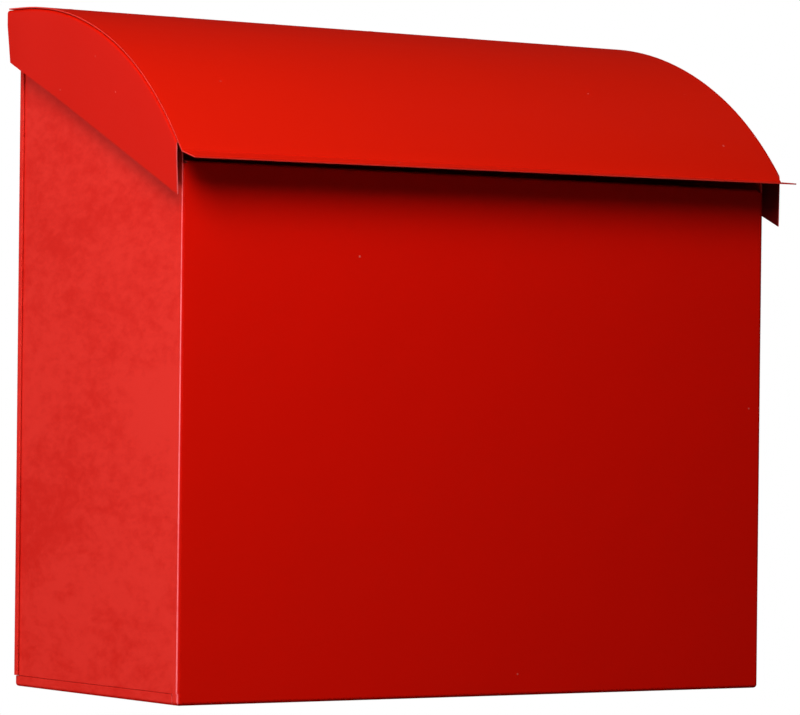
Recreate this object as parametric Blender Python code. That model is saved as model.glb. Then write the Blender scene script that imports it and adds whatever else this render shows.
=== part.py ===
"""Wall mounted mailbox: a folded sheet steel box with a curved lid hinged along its top rear edge.

Metres, +Z up, front towards -Y, +X to the right. The origin is the middle of the back panel's rear
face, where the box meets the wall.
"""
from math import cos, pi, radians, sin

import bpy
import bmesh
from mathutils import Matrix, Vector

# The box
WIDTH = 0.400
DEPTH = 0.200
BASE_Z = -0.200
FRONT_HEIGHT = 0.3012
SHEET = 0.0008
GAP = 0.0003
CORNER_RADIUS = 0.0022
BOTTOM_RADIUS = 0.0020
BEND_STEPS = 4
SHARP_ANGLE = radians(35)
MERGE_DISTANCE = 0.00001
TOLERANCE = 0.0001
SIDE_X = WIDTH / 2
FRONT_Y = -DEPTH
FRONT_TOP_Z = BASE_Z + FRONT_HEIGHT

# The front panel's folded top edge
HEM_RADIUS = 0.0016
HEM_DEPTH = 0.012
HEM_DROP = 0.006
HEM_END_RELIEF = 0.0008

# The seam where the bottom pan meets the sides, and the wrapped corner at the front
SEAM_HEIGHT = 0.0062
SEAM_GAP = 0.0004
CORNER_WRAP = 0.006
FRONT_FOLD = 0.0055
LAP_HEIGHT = 0.016
LAP_INSET = SHEET + GAP
DRAIN_RADIUS = 0.003
DRAIN_INSET = 0.045
DRAIN_SIDES = 16
HOLE_CUTTER_DEPTH = 0.01

# The back pan, whose flanges wrap round the sides
FLANGE_STANDOFF = 0.0013
FLANGE_DEPTH = 0.0055
FLANGE_TOP_Z = BASE_Z + 0.392
SIDE_END_Y = -0.0016
RAIL_DEPTH = 0.022
RAIL_X = 0.1985
KEYHOLE_X = 0.150
KEYHOLE_Z = BASE_Z + 0.265
KEYHOLE_RADIUS = 0.005
KEYHOLE_SLOT_RADIUS = 0.0027
KEYHOLE_RISE = 0.010
KEYHOLE_MOUTH = radians(33)
KEYHOLE_STEPS = 16
SLOT_STEPS = 8
SCREW_HOLE_SIDES = 18
LOWER_HOLE_Z = BASE_Z + 0.055

# The lid's side view: a flat at the back, two arcs and a straight run down to the lip
LID_OVERHANG = 0.0078
LID_REAR_FLARE = 0.0020
FLARE_START_Y = -0.065
LID_TOP_Z = BASE_Z + 0.4024
LID_REAR_Y = -0.0025
LID_END_REAR_Y = -0.0017
LID_END_X = 0.2018
LID_REAR_SLOPE = radians(2.6)
LID_UPPER_RADIUS = 0.279
LID_UPPER_END = radians(26.0)
LID_LOWER_RADIUS = 0.233
LID_LOWER_END = radians(52.0)
LID_ARC_STEPS = 9
LID_FRONT_Y = FRONT_Y - 0.0126
LIP_LENGTH = 0.0150
LIP_SLOPE = radians(11.0)
LIP_BEND_RADIUS = 0.0012
PANEL_INSET = 0.0018

# The lid's cheeks
CHEEK_EDGE_RADIUS = 0.0020
CHEEK_UPRIGHT = 0.009
CHEEK_LEAN_REAR = 0.0020
CHEEK_LEAN_FRONT = 0.0009
CHEEK_FLANGE = 0.011
CHEEK_REAR_FLANGE = CHEEK_EDGE_RADIUS + 0.001
CHEEK_FLANGE_END_Y = -0.022
CHEEK_SETBACK = 0.0010
CHEEK_REAR_DROP = 0.0008
CHEEK_REAR_Y = -0.0006
CHEEK_REAR_Z = BASE_Z + 0.3702
CHEEK_FRONT_Y = FRONT_Y - 0.0068
CHEEK_FRONT_Z = BASE_Z + 0.2806
SIDE_TOP_CLEARANCE = 0.0022

# The hinge
KNUCKLES = 13
HINGE_LENGTH = 0.380
KNUCKLE_GAP = 0.0004
PIN_RADIUS = 0.0015
KNUCKLE_INNER = PIN_RADIUS + GAP
KNUCKLE_OUTER = KNUCKLE_INNER + SHEET
LEAF_DEPTH = 0.0150
LEAF_REAR = KNUCKLE_OUTER + 0.0006
AXIS_Y = -0.0050
AXIS_DROP = (SHEET + GAP + KNUCKLE_OUTER) / cos(LID_REAR_SLOPE)
AXIS_Z = LID_TOP_Z + (AXIS_Y - CHEEK_REAR_Y) * sin(LID_REAR_SLOPE) - AXIS_DROP
PIN_OVERRUN = 0.0012
PIN_SIDES = 14
ROLL_END = radians(198)
ROLL_STEPS = 14
RAIL_TOP_Z = AXIS_Z - KNUCKLE_OUTER - GAP
SWING_DEPTH = 0.0060
SWING_END_Y = AXIS_Y - SWING_DEPTH
STATION_SPACING = 0.004

# Rivets
RIVET_SHANK = 0.0016
RIVET_HEAD = 0.0030
RIVET_HEAD_HEIGHT = 0.0009
RIVET_TAIL = 0.0024
RIVET_TAIL_HEIGHT = 0.0009
RIVET_RIM = 0.0002
RIVET_CROWN_WIDTH = 0.6
RIVET_CROWN_HEIGHT = 0.82
RIVET_TAIL_TAPER = 0.7
RIVET_GRIP = 2 * SHEET + GAP
RIVET_CUTTER_DEPTH = 0.006
RIVET_CLEARANCE = 0.0004
RIVET_SIDES = 12
RIVET_PITCH = 0.070
FIXED_RIVETS = 5
LID_RIVETS = 6
RIVET_Y = -0.0085

# The rubber buffers that the lid lands on the sides with
BUFFER_RADIUS = 0.0045
BUFFER_TAPER = 0.92
BUFFER_SIDES = 20
BUFFER_Y = FRONT_Y + 0.040

# Finishes: base colour, roughness and metallic
PAINT = ((0.62, 0.012, 0.006, 1.0), 0.32, 0.0)
ZINC = ((0.56, 0.55, 0.53, 1.0), 0.35, 1.0)
ALUMINIUM = ((0.72, 0.72, 0.71, 1.0), 0.3, 1.0)
RUBBER = ((0.02, 0.02, 0.02, 1.0), 0.8, 0.0)
UP = Vector((0, 0, 1))


def clear_scene():
    for obj in list(bpy.data.objects):
        bpy.data.objects.remove(obj)


def material(name, colour, roughness, metallic):
    made = bpy.data.materials.new(name)
    made.use_nodes = True
    shader = made.node_tree.nodes["Principled BSDF"]
    shader.inputs["Base Color"].default_value = colour
    shader.inputs["Roughness"].default_value = roughness
    shader.inputs["Metallic"].default_value = metallic
    return made


def finish(name, bm, look, smooth=False):
    """Turn a bmesh into a named object with its own material."""
    mesh = bpy.data.meshes.new(name)
    bm.to_mesh(mesh)
    bm.free()
    obj = bpy.data.objects.new(name, mesh)
    bpy.context.scene.collection.objects.link(obj)
    mesh.materials.append(material(name + "_finish", *look))
    if smooth:
        mesh.shade_smooth()
        mesh.set_sharp_from_angle(angle=SHARP_ANGLE)
    return obj


def place(obj, location, parent=None):
    obj.location = location
    if parent is not None:
        obj.parent = parent
        obj.location = Vector(location) - parent.location
    return obj


def thicken(obj):
    """Give a skin its sheet thickness, inwards from the outer face."""
    solid = obj.modifiers.new("sheet", "SOLIDIFY")
    solid.thickness = SHEET
    solid.offset = -1.0
    solid.use_even_offset = True
    solid.use_quality_normals = True
    return obj


def cut(obj, cutter):
    """Cut a hidden cutter out of an object."""
    cutter.hide_render = True
    cutter.display_type = "WIRE"
    boolean = obj.modifiers.new("holes", "BOOLEAN")
    boolean.operation = "DIFFERENCE"
    boolean.solver = "EXACT"
    boolean.object = cutter


def bridge(bm, rows):
    """Join rows of points with quads. A point that is None leaves a gap."""
    made = [[None if point is None else bm.verts.new(point) for point in row] for row in rows]
    for lower, upper in zip(made[:-1], made[1:]):
        for i in range(len(lower) - 1):
            ring = [lower[i], lower[i + 1], upper[i + 1], upper[i]]
            if all(ring):
                bm.faces.new(ring)
    return made


def tidy_skin(bm, outward):
    """Merge doubles and make the first face's side face outwards everywhere."""
    bmesh.ops.remove_doubles(bm, verts=bm.verts[:], dist=MERGE_DISTANCE)
    bmesh.ops.dissolve_degenerate(bm, edges=bm.edges[:], dist=MERGE_DISTANCE)
    bmesh.ops.recalc_face_normals(bm, faces=bm.faces[:])
    bm.faces.ensure_lookup_table()
    widest = max(bm.faces, key=lambda face: face.calc_area())
    if widest.normal.dot(outward) < 0:
        bmesh.ops.reverse_faces(bm, faces=bm.faces[:])


def mirrored(bm):
    """Mirror a skin from the left side to the right."""
    bmesh.ops.scale(bm, vec=(-1, 1, 1), verts=bm.verts[:])
    bmesh.ops.reverse_faces(bm, faces=bm.faces[:])


def steps(start, end, count):
    return [start + (end - start) * i / count for i in range(count + 1)]


def lid_stations():
    """The lid's outer line in side view, from its rear edge to the lip's bend: (y, z, slope)."""
    y = CHEEK_REAR_Y
    z = LID_TOP_Z
    line = [(y, z, LID_REAR_SLOPE)]
    for place_y in (LID_END_REAR_Y, LID_REAR_Y, AXIS_Y, AXIS_Y - LEAF_DEPTH):
        line.append((place_y, z - (y - place_y) * sin(LID_REAR_SLOPE), LID_REAR_SLOPE))
    y, z, slope = line[-1]
    for radius, last in ((LID_UPPER_RADIUS, LID_UPPER_END),
                         (LID_LOWER_RADIUS, LID_LOWER_END)):
        for angle in steps(slope, last, LID_ARC_STEPS)[1:]:
            y -= radius * (sin(angle) - sin(slope))
            z -= radius * (cos(slope) - cos(angle))
            slope = angle
            line.append((y, z, slope))
    run = y - LID_FRONT_Y
    line.append((LID_FRONT_Y, z - run * sin(slope) / cos(slope), slope))
    return line


def inset_point(station, inset):
    """A point of the lid's line, moved inwards from the outer face."""
    y, z, slope = station
    return y + inset * sin(slope), z - inset * cos(slope)


def flare(y):
    """How far the lid's ends spread outwards towards the wall."""
    share = min(max((y - FLARE_START_Y) / (CHEEK_REAR_Y - FLARE_START_Y), 0), 1)
    return LID_REAR_FLARE * share * share * (3 - 2 * share)


def lid_height(y, inset):
    """Height of the lid's line, moved inwards, above a place in the depth."""
    line = [inset_point(station, inset) for station in lid_stations()]
    for rear, front in zip(line[:-1], line[1:]):
        if front[0] <= y <= rear[0]:
            share = (rear[0] - y) / (rear[0] - front[0])
            return rear[1] + (front[1] - rear[1]) * share
    return line[0][1]


def bottom_bend():
    """Inset and height of the points round the bottom bend, from the flat up to the wall."""
    angles = steps(0, pi / 2, BEND_STEPS)
    return [(BOTTOM_RADIUS * (1 - sin(a)), BASE_Z + BOTTOM_RADIUS * (1 - cos(a))) for a in angles]


def rounded_corner(centre, start, inset, limit):
    """Points round a vertical corner, which close to a mitre where the inset passes its radius."""
    if inset >= CORNER_RADIUS:
        return [limit] * (BEND_STEPS + 1)
    reach = CORNER_RADIUS - inset
    angles = steps(start, start + pi / 2, BEND_STEPS)
    return [(centre[0] + reach * cos(a), centre[1] + reach * sin(a)) for a in angles]


def shell_plan(inset):
    """Plan of the shell's outer face, moved inwards: left side, front, right side."""
    side_ys = [SIDE_END_Y, SWING_END_Y]
    side_ys += [y for y, _, _ in lid_stations()
                if FRONT_Y + CORNER_WRAP < y < SWING_END_Y - STATION_SPACING]
    side_ys.append(FRONT_Y + CORNER_WRAP)
    left = [(-SIDE_X + inset, y) for y in side_ys]
    centre = (-SIDE_X + CORNER_RADIUS, FRONT_Y + CORNER_RADIUS)
    left += rounded_corner(centre, pi, inset, (-SIDE_X + inset, FRONT_Y + inset))
    left.append((-SIDE_X + max(CORNER_RADIUS, inset) + HEM_END_RELIEF, FRONT_Y + inset))
    return left + [(-x, y) for x, y in reversed(left)]


def side_top(y):
    """Height of the sides' top edge, which drops at the back to let the lid's rear edge swing."""
    if y > SWING_END_Y - TOLERANCE:
        return AXIS_Z - SWING_DEPTH
    return lid_height(y, SHEET + GAP + SHEET + SIDE_TOP_CLEARANCE)


def shell_rows():
    """Rows of the shell's skin, from the front's bottom fold up to the sides' tops and the hem."""
    plan = shell_plan(0)
    half = len(plan) // 2
    wrap = half - BEND_STEPS - 3
    corner = wrap + 1
    rows = []
    for inset, z in [(FRONT_FOLD, BASE_Z)] + bottom_bend():
        row = [(x, y, z) for x, y in shell_plan(inset)]
        rows.append([p if wrap <= i < len(plan) - wrap else None for i, p in enumerate(row)])
    rows.append([(x, y, BASE_Z + SEAM_HEIGHT + SEAM_GAP) for x, y in plan])
    bend_z = FRONT_TOP_Z - HEM_RADIUS
    rows.append([(x, y, bend_z) for x, y in plan])
    return rows, corner, half


def body_shell():
    """The front and both sides, folded from one sheet."""
    bm = bmesh.new()
    rows, corner, half = shell_rows()
    made = bridge(bm, rows)
    top = made[-1]
    plan = shell_plan(0)
    last = len(plan) - 1
    for run in (range(0, corner + 1), range(last - corner, last + 1)):
        crown = [bm.verts.new((*plan[i], side_top(plan[i][1]))) for i in run]
        lower = [top[i] for i in run]
        for i in range(len(crown) - 1):
            bm.faces.new((lower[i], lower[i + 1], crown[i + 1], crown[i]))
    hem = [(FRONT_Y + HEM_RADIUS * (1 - cos(a)), FRONT_TOP_Z - HEM_RADIUS * (1 - sin(a)))
           for a in steps(0, pi / 2, BEND_STEPS)[1:]]
    hem.append((FRONT_Y + HEM_DEPTH, FRONT_TOP_Z))
    hem.append((FRONT_Y + HEM_DEPTH, FRONT_TOP_Z - HEM_DROP))
    lower = [top[half - 1], top[half]]
    for y, z in hem:
        upper = [bm.verts.new((vert.co.x, y, z)) for vert in lower]
        bm.faces.new((lower[0], lower[1], upper[1], upper[0]))
        lower = upper
    tidy_skin(bm, Vector((0, -1, 0)))
    return thicken(finish("body_shell", bm, PAINT, smooth=True))


def back_plan():
    """Plan of the back pan's outer face: left flange, back, right flange."""
    x = -SIDE_X - FLANGE_STANDOFF
    left = [(x, -FLANGE_DEPTH)]
    for angle in steps(pi, pi / 2, BEND_STEPS):
        left.append((x + CORNER_RADIUS + CORNER_RADIUS * cos(angle),
                     -CORNER_RADIUS + CORNER_RADIUS * sin(angle)))
    left.append((-RAIL_X, 0))
    return left + [(-x, y) for x, y in reversed(left)]


def back_pan():
    """The back panel, with side flanges that wrap the sides and a rail for the hinge on top."""
    bm = bmesh.new()
    plan = back_plan()
    half = len(plan) // 2
    made = bridge(bm, [[(x, y, z) for x, y in plan]
                       for z in (BASE_Z + SEAM_HEIGHT + SEAM_GAP, FLANGE_TOP_Z)])
    rail = [(0, RAIL_TOP_Z - HEM_RADIUS)]
    for angle in steps(0, pi / 2, BEND_STEPS)[1:]:
        rail.append((-HEM_RADIUS * (1 - cos(angle)), RAIL_TOP_Z - HEM_RADIUS * (1 - sin(angle))))
    rail.append((-RAIL_DEPTH, RAIL_TOP_Z))
    lower = [made[-1][half - 1], made[-1][half]]
    for y, z in rail:
        upper = [bm.verts.new((vert.co.x, y, z)) for vert in lower]
        bm.faces.new((lower[0], lower[1], upper[1], upper[0]))
        lower = upper
    tidy_skin(bm, Vector((0, 1, 0)))
    obj = thicken(finish("back_pan", bm, PAINT, smooth=True))
    cut(obj, screw_hole_cutter())
    cut(obj, rivet_hole_cutter("rail_holes", FIXED_RIVETS, AXIS_Y + RIVET_Y, RAIL_TOP_Z))
    return obj


def bottom_plan(inset):
    """Plan of the bottom pan's outer face, moved inwards: left, rear, right."""
    left = [(-SIDE_X + inset, FRONT_Y + CORNER_WRAP + SEAM_GAP)]
    centre = (-SIDE_X + CORNER_RADIUS, -CORNER_RADIUS)
    reach = CORNER_RADIUS - inset
    for angle in steps(pi, pi / 2, BEND_STEPS):
        left.append((centre[0] + reach * cos(angle), centre[1] + reach * sin(angle)))
    return left + [(-x, y) for x, y in reversed(left)]


def bottom_pan():
    """The bottom tray, joggled so that its top edge laps inside the sides and the back."""
    bm = bmesh.new()
    top = BASE_Z + SEAM_HEIGHT
    profile = bottom_bend()
    profile += [(0, top), (LAP_INSET, top), (LAP_INSET, BASE_Z + LAP_HEIGHT)]
    made = bridge(bm, [[(x, y, z) for x, y in bottom_plan(inset)] for inset, z in profile])
    bm.faces.new(made[0])
    tidy_skin(bm, Vector((0, 0, -1)))
    obj = thicken(finish("bottom_pan", bm, PAINT, smooth=True))
    cut(obj, drain_cutter())
    return obj


def lid_profile():
    """The lid panel's outer line with its lip: (y, z)."""
    line = [(y, z) for y, z, _ in lid_stations() if y <= LID_REAR_Y + TOLERANCE]
    slope = LID_LOWER_END
    y, z = line.pop()
    turn = slope - LIP_SLOPE
    back = LIP_BEND_RADIUS * sin(turn / 2) / cos(turn / 2)
    y += back * cos(slope)
    z += back * sin(slope)
    line.append((y, z))
    for angle in steps(slope, LIP_SLOPE, BEND_STEPS)[1:]:
        y -= LIP_BEND_RADIUS * (sin(slope) - sin(angle))
        z -= LIP_BEND_RADIUS * (cos(angle) - cos(slope))
        slope = angle
        line.append((y, z))
    line.append((y - LIP_LENGTH * cos(slope), z - LIP_LENGTH * sin(slope)))
    return line


def lid_panel():
    """The curved top of the lid, which ends in a lip to lift it by."""
    bm = bmesh.new()
    rows = []
    for y, z in [lid_stations()[1][:2]] + lid_profile():
        end = SIDE_X + LID_OVERHANG + flare(y) - PANEL_INSET
        rows.append([(x, y, z) for x in (-end, -LID_END_X, LID_END_X, end)])
    made = bridge(bm, rows)
    middle = [face for face in made[0][1].link_faces if made[0][2] in face.verts]
    bmesh.ops.delete(bm, geom=middle, context="FACES_ONLY")
    tidy_skin(bm, UP)
    obj = thicken(finish("lid_panel", bm, PAINT, smooth=True))
    rise = SHEET + GAP + KNUCKLE_OUTER
    cutter = rivet_hole_cutter("lid_holes", LID_RIVETS, AXIS_Y, AXIS_Z)
    shape_lid_rivets(cutter.data, rise)
    cut(obj, cutter)
    return obj


def cheek_bottom(y):
    """Height of the cheek's straight lower edge."""
    share = (y - CHEEK_REAR_Y) / (CHEEK_FRONT_Y - CHEEK_REAR_Y)
    return CHEEK_REAR_Z + (CHEEK_FRONT_Z - CHEEK_REAR_Z) * share


def cheek_section(station, drop):
    """Skin points of the cheek at one station, from its lower edge to its inner flange."""
    y, z = inset_point(station, SHEET + GAP + drop)
    outer = -SIDE_X - LID_OVERHANG - flare(y)
    slope = station[2]
    down = (sin(slope), -cos(slope))
    foot_y = max(min(y, CHEEK_REAR_Y), CHEEK_FRONT_Y)
    share = (foot_y - CHEEK_FRONT_Y) / (CHEEK_REAR_Y - CHEEK_FRONT_Y)
    lean = CHEEK_LEAN_FRONT + (CHEEK_LEAN_REAR - CHEEK_LEAN_FRONT) * share
    points = [(outer + lean, foot_y, cheek_bottom(foot_y)), (outer, foot_y, z - CHEEK_UPRIGHT)]
    for angle in steps(0, pi / 2, BEND_STEPS):
        depth = CHEEK_EDGE_RADIUS * (1 - sin(angle))
        points.append((outer + CHEEK_EDGE_RADIUS * (1 - cos(angle)), y + down[0] * depth,
                       z + down[1] * depth))
    width = CHEEK_FLANGE if y < CHEEK_FLANGE_END_Y else CHEEK_REAR_FLANGE
    points.append((outer + width, y, z))
    return points


def lid_cheek(name, right):
    """A lid side plate with a flange that carries the lid panel."""
    bm = bmesh.new()
    stations = [station for station in lid_stations() if station[0] > LID_FRONT_Y + CHEEK_SETBACK]
    y, z, slope = lid_stations()[-1]
    rise = CHEEK_SETBACK * sin(slope) / cos(slope)
    stations.append((y + CHEEK_SETBACK, z + rise, slope))
    drops = [CHEEK_REAR_DROP] + [0.0] * (len(stations) - 1)
    bridge(bm, [cheek_section(station, drop) for station, drop in zip(stations, drops)])
    tidy_skin(bm, Vector((-1, 0, 0)))
    if right:
        mirrored(bm)
    return thicken(finish(name, bm, PAINT, smooth=True))


def knuckle_bounds(first):
    """The X range of every second knuckle, starting with the first or the second."""
    pitch = HINGE_LENGTH / KNUCKLES
    left = -HINGE_LENGTH / 2
    return [(left + i * pitch + KNUCKLE_GAP / 2, left + (i + 1) * pitch - KNUCKLE_GAP / 2)
            for i in range(first, KNUCKLES, 2)]


def roll_profile():
    """Rolled knuckle of the lower leaf in side view, from the leaf's top face round the pin."""
    low = -KNUCKLE_OUTER
    angles = steps(-pi / 2, ROLL_END, ROLL_STEPS)
    outer = [(KNUCKLE_OUTER * cos(a), KNUCKLE_OUTER * sin(a)) for a in angles]
    inner = [(KNUCKLE_INNER * cos(a), KNUCKLE_INNER * sin(a)) for a in angles[::-1]]
    return [(-LEAF_REAR, low)] + outer + inner + [(-LEAF_REAR, low + SHEET)]


def hinge_leaf_mesh(first):
    """A hinge leaf round the pin's axis at the origin: a plate with knuckles on its rear edge."""
    bm = bmesh.new()
    low = -KNUCKLE_OUTER
    high = low + SHEET
    ranges = knuckle_bounds(first)
    edges = sorted({-HINGE_LENGTH / 2 + KNUCKLE_GAP / 2, HINGE_LENGTH / 2 - KNUCKLE_GAP / 2}
                   | {x for pair in ranges for x in pair})
    rear_low = [bm.verts.new((x, -LEAF_REAR, low)) for x in edges]
    rear_high = [bm.verts.new((x, -LEAF_REAR, high)) for x in edges]
    front_low = [bm.verts.new((x, -LEAF_DEPTH, low)) for x in (edges[0], edges[-1])]
    front_high = [bm.verts.new((x, -LEAF_DEPTH, high)) for x in (edges[0], edges[-1])]
    bm.faces.new(rear_low + front_low[::-1])
    bm.faces.new(rear_high + front_high[::-1])
    bm.faces.new(front_low + front_high[::-1])
    bm.faces.new((rear_low[0], rear_high[0], front_high[0], front_low[0]))
    bm.faces.new((rear_low[-1], rear_high[-1], front_high[-1], front_low[-1]))
    starts = {pair[0] for pair in ranges}
    for i in range(len(edges) - 1):
        corners = (rear_low[i], rear_low[i + 1], rear_high[i + 1], rear_high[i])
        if edges[i] in starts:
            add_knuckle(bm, corners)
        else:
            bm.faces.new(corners)
    bmesh.ops.recalc_face_normals(bm, faces=bm.faces[:])
    return bm


def add_knuckle(bm, corners):
    """Sweep the rolled profile between the plate's rear corners."""
    low_left, low_right, high_right, high_left = corners
    left_x = low_left.co.x
    right_x = low_right.co.x
    profile = roll_profile()[1:-1]
    left = [low_left] + [bm.verts.new((left_x, y, z)) for y, z in profile] + [high_left]
    right = [low_right] + [bm.verts.new((right_x, y, z)) for y, z in profile] + [high_right]
    bm.faces.new(left)
    bm.faces.new(right)
    for i in range(len(left) - 1):
        bm.faces.new((left[i], right[i], right[i + 1], left[i + 1]))


def hinge_fixed_leaf():
    """The hinge leaf on the back pan's rail."""
    obj = finish("hinge_fixed_leaf", hinge_leaf_mesh(0), ZINC, smooth=True)
    place(obj, (0, AXIS_Y, AXIS_Z))
    holes_z = AXIS_Z - KNUCKLE_OUTER
    cut(obj, rivet_hole_cutter("fixed_leaf_holes", FIXED_RIVETS, AXIS_Y + RIVET_Y, holes_z))
    return obj


def hinge_lid_leaf(lid):
    """The hinge leaf under the lid panel, tilted to the panel's slope."""
    bm = hinge_leaf_mesh(1)
    bmesh.ops.scale(bm, vec=(1, 1, -1), verts=bm.verts[:])
    bmesh.ops.reverse_faces(bm, faces=bm.faces[:])
    obj = finish("hinge_lid_leaf", bm, ZINC, smooth=True)
    obj.rotation_euler = (LID_REAR_SLOPE, 0, 0)
    place(obj, (0, AXIS_Y, AXIS_Z), lid)
    cutter = rivet_hole_cutter("lid_leaf_holes", LID_RIVETS, AXIS_Y, AXIS_Z)
    shape_lid_rivets(cutter.data, KNUCKLE_OUTER)
    cut(obj, cutter)
    return obj


def hinge_pin():
    """The pin through all the knuckles."""
    bm = bmesh.new()
    bmesh.ops.create_cone(bm, cap_ends=True, segments=PIN_SIDES, radius1=PIN_RADIUS, radius2=PIN_RADIUS,
                          depth=HINGE_LENGTH + 2 * PIN_OVERRUN,
                          matrix=Matrix.Rotation(pi / 2, 4, "Y"))
    obj = finish("hinge_pin", bm, ZINC, smooth=True)
    return place(obj, (0, AXIS_Y, AXIS_Z))


def rivet_xs(count):
    """Places of a row of rivets, centred on the box."""
    return [(i - (count - 1) / 2) * RIVET_PITCH for i in range(count)]


def rivet_mesh():
    """A blind rivet on the Z axis: its head above z = 0, its tail below the sheets it grips."""
    bm = bmesh.new()
    tail = -RIVET_GRIP - GAP
    profile = [(0, GAP + RIVET_HEAD_HEIGHT),
               (RIVET_HEAD * RIVET_CROWN_WIDTH, GAP + RIVET_HEAD_HEIGHT * RIVET_CROWN_HEIGHT),
               (RIVET_HEAD, GAP + RIVET_RIM), (RIVET_HEAD, GAP), (RIVET_SHANK, GAP),
               (RIVET_SHANK, tail), (RIVET_TAIL, tail - RIVET_RIM),
               (RIVET_TAIL * RIVET_TAIL_TAPER, tail - RIVET_TAIL_HEIGHT),
               (0, tail - RIVET_TAIL_HEIGHT)]
    verts = [bm.verts.new((x, 0, z)) for x, z in profile]
    edges = [bm.edges.new(pair) for pair in zip(verts[:-1], verts[1:])]
    bmesh.ops.spin(bm, geom=verts + edges, cent=(0, 0, 0), axis=(0, 0, 1), angle=2 * pi,
                   steps=RIVET_SIDES, use_merge=True)
    bmesh.ops.remove_doubles(bm, verts=bm.verts[:], dist=MERGE_DISTANCE)
    bmesh.ops.recalc_face_normals(bm, faces=bm.faces[:])
    return bm


def rivet_hole_cutter(name, count, y, z):
    """Hidden cylinders where a row of rivets passes."""
    bm = bmesh.new()
    for x in rivet_xs(count):
        bmesh.ops.create_cone(bm, cap_ends=True, segments=RIVET_SIDES, depth=RIVET_CUTTER_DEPTH,
                              radius1=RIVET_SHANK + RIVET_CLEARANCE,
                              radius2=RIVET_SHANK + RIVET_CLEARANCE,
                              matrix=Matrix.Translation((x, y, z)))
    return finish(name, bm, ZINC)


def shape_lid_rivets(mesh, rise):
    """Tilt a row of holes on the hinge's axis to the lid's slope and move it onto the panel."""
    axis = Vector((0, AXIS_Y, AXIS_Z))
    tilt = Matrix.Rotation(LID_REAR_SLOPE, 4, "X")
    move = Matrix.Translation((0, RIVET_Y, rise))
    mesh.transform(Matrix.Translation(axis) @ tilt @ move @ Matrix.Translation(-axis))


def fixed_rivets():
    """Rivets that hold the fixed leaf to the rail."""
    for i, x in enumerate(rivet_xs(FIXED_RIVETS)):
        obj = finish("fixed_leaf_rivet_%d" % (i + 1), rivet_mesh(), ALUMINIUM, True)
        place(obj, (x, AXIS_Y + RIVET_Y, AXIS_Z - KNUCKLE_OUTER + SHEET))


def lid_rivets(lid):
    """Rivets that hold the lid panel to its hinge leaf."""
    tilt = Matrix.Rotation(LID_REAR_SLOPE, 4, "X")
    spot = tilt @ Vector((0, RIVET_Y, KNUCKLE_OUTER + GAP + SHEET))
    for i, x in enumerate(rivet_xs(LID_RIVETS)):
        obj = finish("lid_leaf_rivet_%d" % (i + 1), rivet_mesh(), PAINT, True)
        obj.rotation_euler = (LID_REAR_SLOPE, 0, 0)
        place(obj, (x, AXIS_Y + spot.y, AXIS_Z + spot.z), lid)


def lid_buffer(name, side, lid):
    """A small rubber disc under the cheek's flange, which lands on the side's top edge."""
    bm = bmesh.new()
    thickness = SIDE_TOP_CLEARANCE - 2 * GAP
    bmesh.ops.create_cone(bm, cap_ends=True, segments=BUFFER_SIDES, radius1=BUFFER_RADIUS,
                          radius2=BUFFER_RADIUS * BUFFER_TAPER, depth=thickness)
    station = min(lid_stations(), key=lambda point: abs(point[0] - BUFFER_Y))
    y, z = inset_point(station, 2 * SHEET + 2 * GAP + thickness / 2)
    obj = finish(name, bm, RUBBER, smooth=True)
    obj.rotation_euler = (station[2], 0, 0)
    place(obj, (side * (SIDE_X - SHEET / 2), y, z), lid)


def outline_cutter(name, outline, y, depth):
    """A hidden cutter: an outline in X and Z, pulled out along Y."""
    bm = bmesh.new()
    face = bm.faces.new([bm.verts.new((x, y - depth / 2, z)) for x, z in outline])
    pulled = bmesh.ops.extrude_face_region(bm, geom=[face])
    verts = [item for item in pulled["geom"] if isinstance(item, bmesh.types.BMVert)]
    bmesh.ops.translate(bm, vec=(0, depth, 0), verts=verts)
    bmesh.ops.recalc_face_normals(bm, faces=bm.faces[:])
    return finish(name, bm, ZINC)


def screw_hole_cutter():
    """Two keyholes at the top of the back and two round holes at the bottom, in one cutter."""
    bm = bmesh.new()
    for side in (-1, 1):
        x = side * KEYHOLE_X
        outline = [(x + KEYHOLE_RADIUS * sin(a), KEYHOLE_Z - KEYHOLE_RADIUS * cos(a))
                   for a in steps(KEYHOLE_MOUTH - pi, pi - KEYHOLE_MOUTH, KEYHOLE_STEPS)]
        outline += [(x + KEYHOLE_SLOT_RADIUS * cos(a),
                     KEYHOLE_Z + KEYHOLE_RISE + KEYHOLE_SLOT_RADIUS * sin(a))
                    for a in steps(0, pi, SLOT_STEPS)]
        part = outline_cutter("keyhole", outline, 0, HOLE_CUTTER_DEPTH)
        bm.from_mesh(part.data)
        bpy.data.objects.remove(part)
        turn = Matrix.Translation((x, 0, LOWER_HOLE_Z)) @ Matrix.Rotation(pi / 2, 4, "X")
        bmesh.ops.create_cone(bm, cap_ends=True, segments=SCREW_HOLE_SIDES,
                              radius1=KEYHOLE_SLOT_RADIUS, radius2=KEYHOLE_SLOT_RADIUS,
                              depth=HOLE_CUTTER_DEPTH, matrix=turn)
    return finish("screw_holes", bm, ZINC)


def drain_cutter():
    """Four drain holes in the bottom."""
    bm = bmesh.new()
    for x in (-SIDE_X + DRAIN_INSET, SIDE_X - DRAIN_INSET):
        for y in (FRONT_Y + DRAIN_INSET, -DRAIN_INSET):
            bmesh.ops.create_cone(bm, cap_ends=True, segments=DRAIN_SIDES,
                                  radius1=DRAIN_RADIUS, radius2=DRAIN_RADIUS,
                                  depth=HOLE_CUTTER_DEPTH,
                                  matrix=Matrix.Translation((x, y, BASE_Z)))
    return finish("drain_holes", bm, ZINC)


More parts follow.
